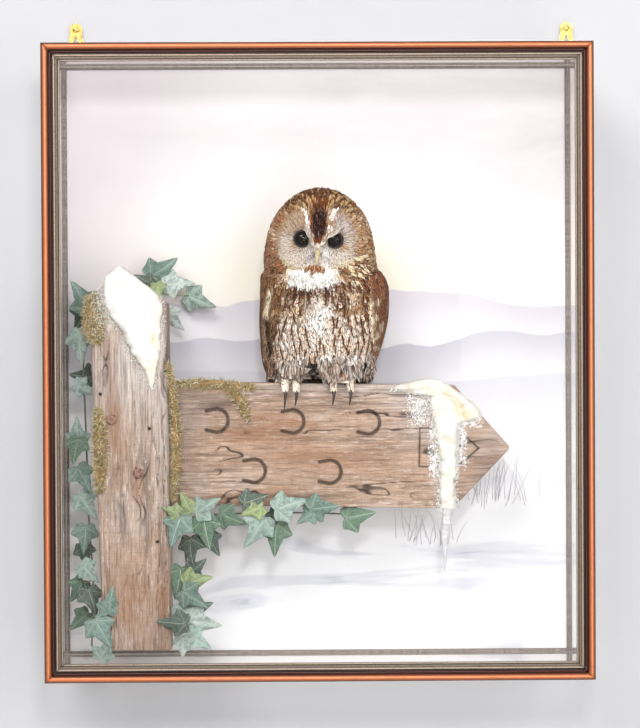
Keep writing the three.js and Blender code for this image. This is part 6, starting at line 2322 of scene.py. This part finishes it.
def coat_bib(shell):
    """White plumes under the face, slim and ragged, over the first breast feathers."""
    rng = np.random.default_rng(10)
    count = 1300
    x = rng.uniform(-46, 21, count)
    bottom = 145 + 0.010 * (x + 12) ** 2
    z = bottom + (158 + 0.003 * (x + 12) ** 2 - bottom) * rng.random(count)
    p = close_in(xyz(x, -90, z), lambda p: np.array([0, -1.0, 0]), 12)
    lie = xyz(0.006 * (x + 11), 0, -1) + rng.normal(0, 0.16, (count, 3))
    luck = rng.uniform(0.3, 1, count)
    marks = Marks(count, settings().owl.bib, "f6f0e8", 0.0, 0.0)
    marks.layer(smooth(np.abs(x + 12), 24, 33) * smooth(luck, 0.45, 0.7), "dcc3a0", "a8764c")
    bulge = 2.2 * np.exp(-(((z - 152) / 12) ** 2))
    vanes(
        shell, p, lie, 7 + 12 * rng.random(count) ** 2, rng.uniform(2.2, 4.6, count), (0.85, 1.05), 6,
        marks, luck, tip=0.12, taper=0.4, ragged=0.2, arch=0.03, height=bulge
    )


def coat_legs(shell):
    """Short cream feathers down the legs and over the toes."""
    rng = np.random.default_rng(11)
    for leg in LEGS:
        cx, foot, top, _ = leg
        found = []
        for i, z in enumerate(np.arange(38, 8, -3.6)):
            rise = np.clip((z - 8) / 40, 0, 1)
            wide = foot + (top - foot) * rise**0.7
            count = int(2 * math.pi * wide / 4.0)
            angle = staggered(count, i)
            found.append(xyz(cx + (wide + 1) * np.cos(angle), -4 + (12 + 20 * rise) * np.sin(angle), z))
        p = np.concatenate(found)
        luck = rng.random(len(p))
        lie = np.array([0, 0, -1.0]) + rng.normal(0, 0.1, p.shape)
        marks = Marks(len(p), settings().owl.legs, "8d6c54", 0.1, 0.3)
        marks.layer(smooth(p[:, 2], 26, 12), "f0e6d6", None, None, 0.1)
        vanes(shell, p, lie, 11, 5.2, (0.2, 1.3), 5, marks, luck)
        for path in toe_paths(leg):
            line = curve(path, 40)
            ahead = unit(np.gradient(line, axis=0))
            pick = rng.integers(0, 36, 240)
            around = rng.normal(size=(240, 3))
            around = unit(around - ahead[pick] * np.einsum("ij,ij->i", around, ahead[pick])[:, None])
            around[:, 2] = np.abs(around[:, 2])
            p = line[pick] + around * 5.5
            luck = rng.random(240)
            marks = Marks(240, "fff7ea", "dfcdb2", 0.0, 0.05)
            marks.layer(smooth(luck, 0.7, 1.0) * 0.4 + 0.4 * (cx > 0), "d9c2a2")
            vanes(
                shell, p, ahead[pick] + rng.normal(0, 0.1, (240, 3)), 6.5, 2.8, (0.7, 1.4), 4, marks,
                luck, tip=0.2, arch=0.03
            )


def build_eye(name, side):
    """A glossy ball: rings of latitude about the way it looks."""
    centre = from_head(np.array([side * EYE_SPREAD, -EYE_DEPTH, EYE_RISE])) + BIRD
    lat = np.linspace(0.02, math.pi - 0.02, 40)[:, None]
    lon = circle(64)[None, :]
    ball = xyz(np.sin(lat) * np.cos(lon), -np.cos(lat), np.sin(lat) * np.sin(lon)) * EYE_BALL
    shell = Shell()
    shell.tube(ball @ HEAD_FRAME.T + centre)
    f = Finish(name + "_glass")
    base = tuple(settings().owl.iris)
    tone = f.blend(f.noise(f.where(), 400, 3), base, shade(base, 2.2))
    return shell.build(name + "_ball", f.surface(Base_Color=tone, Roughness=0.04, Specular_IOR_Level=0.22))


def build_lids():
    """A narrow dark rim of lid round each eye, following the face."""
    shell = Shell()
    turn = circle(72)
    ring = circle(10)[None, :, None]
    forward = EYE_DEPTH + math.sqrt(EYE_BALL**2 - LID_RADIUS**2)
    for side in (-1, 1):
        p = xyz(side * EYE_SPREAD + LID_RADIUS * np.cos(turn), -forward, EYE_RISE + LID_RADIUS * np.sin(turn))
        p = from_head(p) + BIRD
        ahead = unit(np.roll(p, -1, 0) - np.roll(p, 1, 0))
        out = unit(p - p.mean(0))
        fore = np.cross(ahead, out)
        tube = p[:, None] + 1.1 * (np.cos(ring) * out[:, None] + np.sin(ring) * fore[:, None])
        closed = np.concatenate([tube, tube[:1]])
        quads = grid_quads(73, 10, wrap=True) % 720
        shell.add(closed[:-1], quads)
    f = Finish("lid_skin")
    tone = f.blend(f.noise(f.where(), 500, 3), "1c1412", "3a2d27")
    return shell.build("owl_lids", f.surface(Base_Color=tone, Roughness=0.6))


def horn(points, count, sides, radius, broad, across):
    """Rings of a horn along a smooth path, `broad` times as wide as deep, its size given by `radius`."""
    line = curve(points, count)
    ahead = unit(np.gradient(line, axis=0))
    side = unit(np.cross(ahead, across))
    fore = np.cross(side, ahead)
    t = np.linspace(0, 1, count)[:, None, None]
    angle = circle(sides)[:, None]
    ring = line[:, None] + radius(t) * (broad * np.cos(angle) * side[:, None] + np.sin(angle) * fore[:, None])
    return ring, t + 0 * angle


def build_bill():
    """The hooked bill: a path down and forward, its section narrower than deep."""
    shell = Shell()
    ring, t = horn([(0, -54, 8), (0, -65, 3), (0, -70.5, -7), (0, -69, -17)], 28, 28,
                   lambda t: 4.6 * (1 - t) ** 0.6 + 0.4, 0.9, [0, 0.5, 1.0])
    shell.tube(from_head(ring) + BIRD, along=t)
    f = Finish("bill_horn")
    base = tuple(settings().owl.horn)
    # Painted shade at the root, where the bristles cover the bill; the tip is a little darker in its own
    # colour.
    tone = f.shades(f.attribute("along"), base, (0.3, 0.35), (0.45, 0.85), (0.8, 1), (1.0, 0.75))
    pits = f.bump(f.noise(f.where(), 600), 0.0002)
    return shell.build("owl_bill_horn", f.surface(Base_Color=tone, Roughness=0.35, Normal=pits))


def build_claws(name, leg):
    """Four tapering horns, one along each claw path."""
    shell = Shell()
    for path in claw_paths(leg):
        ring, _ = horn(path, 16, 14, lambda t: 3.0 * (1 - t) ** 0.6 + 0.35, 0.87, [0.1, 0.2, 1.0])
        shell.tube(ring + BIRD)
    f = Finish(name + "_horn")
    base = tuple(settings().owl.claw)
    tone = f.blend(f.noise(f.where(), 300, 3), shade(base, 0.6), shade(base, 1.8))
    return shell.build(name, f.surface(Base_Color=tone, Roughness=0.3))


FLESH = ("owl_head", "owl_neck", "owl_trunk", "owl_tail", "owl_wing_left", "owl_wing_right",
         "owl_leg_left", "owl_leg_right", "owl_foot_left", "owl_foot_right")
# The layers of the coat and the slot of each.
COATS = dict.fromkeys(
    [coat_body, coat_plumes, coat_streaks, coat_wings, coat_flight, coat_head, coat_face, coat_bib], "plumage"
)
COATS[coat_legs] = "leg_down"


class OWLCASE_OT_owl(bpy.types.Operator):
    """Skin, feathers, eyes, bill and claws of the owl."""

    bl_idname = "owlcase.owl"
    bl_label = "Owl"

    def execute(self, context):
        settle(build_skin(), "plumage", *FLESH)
        finish = coat_finish()
        for make, slot in COATS.items():
            shell = Shell()
            make(shell)
            settle(shell.build(make.__name__, finish, uv=("vane", "OFBake")), slot)
        settle(build_eye("owl_eye_left", -1), "eye", "owl_eye_left")
        settle(build_eye("owl_eye_right", 1), "eye", "owl_eye_right")
        settle(build_lids(), "eye")
        settle(build_bill(), "bill", "owl_bill")
        for side, leg in zip(("left", "right"), LEGS):
            claws = build_claws("owl_claws_" + side, leg)
            settle(claws, "claw", *["owl_claw_%s_%d" % (side, i) for i in range(1, 5)])
        return {"FINISHED"}


# ---- The stage ----

LENS, SENSOR = 134.2, 36.0
PICTURE = (640, 728)
CAMERA_AT = Vector((-0.044, -3.922, 0.059))
CAMERA_ROLL = math.radians(-0.3)


def area_light(name, place, aim, size, power, warmth=(1, 1, 1)):
    """A rectangular light in metres and watts, turned from its place to its aim."""
    data = bpy.data.lights.new(name, "AREA")
    data.shape = "RECTANGLE"
    data.size, data.size_y = size
    data.energy = power
    data.color = warmth
    made = put(name, data)
    made.location = place
    made.rotation_euler = (Vector(aim) - Vector(place)).to_track_quat("-Z", "Y").to_euler()
    made.visible_camera = False


def flat_stage(name, corners, material):
    """One face through four corners, for the wall and the floor."""
    mesh = bpy.data.meshes.new(name)
    mesh.from_pydata(corners, [], [(0, 1, 2, 3)])
    mesh.materials.append(material)
    made = put(name, mesh)
    return made


def wall_finish():
    """Pale matt wall that isn't there when looked at from behind."""
    f = Finish("wall")
    paint = f.node("BsdfDiffuse", {"Color": tuple(settings().stage.wall)}).outputs[0]
    clear = f.node("BsdfTransparent").outputs[0]
    behind = f.node("NewGeometry").outputs["Backfacing"]
    mixed = f.node("MixShader", {0: behind, 1: paint, 2: clear}).outputs[0]
    f.links.new(mixed, f.output.inputs["Surface"])
    return f.material


def set_camera():
    """The lens looks at the middle of the case's front, a little off the middle of the picture."""
    focal = LENS / SENSOR * PICTURE[1]
    off_right, off_up = -1.0, 1.75
    aim = Vector((0, FRONT * MM, 0)) - CAMERA_AT
    aim.normalize()
    yaw = math.atan2(aim.x, aim.y) - math.atan(off_right / focal)
    pitch = math.asin(aim.z) - math.atan(off_up / focal)
    turn = Euler((math.pi / 2 + pitch, 0, -yaw)).to_matrix() @ Matrix.Rotation(CAMERA_ROLL, 3, "Z")
    data = bpy.data.cameras.new("camera")
    data.lens = LENS
    data.sensor_width = SENSOR
    data.clip_start = 0.05
    made = put("camera", data)
    made.matrix_world = Matrix.Translation(CAMERA_AT) @ turn.to_4x4()
    bpy.context.scene.camera = made


class OWLCASE_OT_stage(bpy.types.Operator):
    """Wall, floor, soft light and camera."""

    bl_idname = "owlcase.stage"
    bl_label = "Stage"

    def execute(self, context):
        set_camera()
        wide, high, floor, reach = 2.5, 1.6, -0.75, 4
        wall_y = 0.002
        corners = [(-wide, wall_y, floor), (wide, wall_y, floor), (wide, wall_y, high), (-wide, wall_y, high)]
        wall = flat_stage("wall", corners, wall_finish())
        wall.visible_diffuse = False
        wall.visible_glossy = False
        wall.visible_shadow = False
        f = Finish("floor")
        around = [(-reach, -reach), (reach, -reach), (reach, reach), (-reach, reach)]
        corners = [(x, y, floor) for x, y in around]
        flat_stage("floor", corners, f.surface(Base_Color="e2e1df", Roughness=0.8))
        power = settings().stage.key
        area_light("key", (-1.0, -2.6, 2.1), (0.0, -0.1, 0.0), (1.6, 1.2), power, (1, 0.985, 0.96))
        area_light("fill", (1.9, -2.7, 0.9), (0.0, -0.1, -0.05), (1.6, 1.6), power * 0.42, (0.96, 0.98, 1))
        area_light("low", (0.0, -2.6, -1.2), (0.0, -0.1, -0.1), (2.4, 0.6), power * 0.12)
        area_light("corner", (0.7, -2.2, -0.2), (-0.36, 0.0, -0.4), (0.8, 0.8), power * 0.10)
        area_light("spark", (0.15, -3.7, 1.05), (0.0, -0.1, 0.0), (0.35, 0.35), power * 0.5)
        area_light("rear", (0.6, 2.4, 1.4), (0.0, 0.0, 0.0), (1.8, 1.4), power * 0.5)
        world = bpy.data.worlds.new("studio")
        world.use_nodes = True
        world.node_tree.nodes["Background"].inputs["Color"].default_value = (0.93, 0.94, 0.96, 1)
        world.node_tree.nodes["Background"].inputs["Strength"].default_value = 0.56
        bpy.context.scene.world = world
        bpy.context.scene.view_settings.view_transform = "Standard"
        return {"FINISHED"}


# ---- Panel and registration ----

OPERATORS = [
    OWLCASE_OT_case,
    OWLCASE_OT_fingerpost,
    OWLCASE_OT_growth,
    OWLCASE_OT_owl,
    OWLCASE_OT_stage,
]


class OWLCASE_PT_main(bpy.types.Panel):
    """Lists the pieces and their sizes and colours."""

    bl_idname = "OWLCASE_PT_main"
    bl_label = "Tawny Owl Wall Case"
    bl_space_type = "VIEW_3D"
    bl_region_type = "UI"
    bl_category = "Owl Case"

    def draw(self, context):
        for operator in OPERATORS:
            self.layout.operator(operator.bl_idname)
        chosen = context.scene.owl_case
        for part in ("case", "wood", "winter", "owl", "stage"):
            group = getattr(chosen, part)
            box = self.layout.box()
            box.label(text=part.capitalize())
            for key in group.__annotations__:
                box.prop(group, key)


GROUPS = [CaseSettings, WoodSettings, WinterSettings, OwlSettings, StageSettings, OwlCaseSettings]


def register():
    for made in GROUPS + OPERATORS + [OWLCASE_PT_main]:
        bpy.utils.register_class(made)
    bpy.types.Scene.owl_case = PointerProperty(type=OwlCaseSettings)


def unregister():
    del bpy.types.Scene.owl_case
    for made in reversed(GROUPS + OPERATORS + [OWLCASE_PT_main]):
        bpy.utils.unregister_class(made)


def main():
    """Makes every piece in turn."""
    register()
    for operator in OPERATORS:
        group, name = operator.bl_idname.split(".")
        getattr(getattr(bpy.ops, group), name)()


if __name__ == "__main__":
    main()
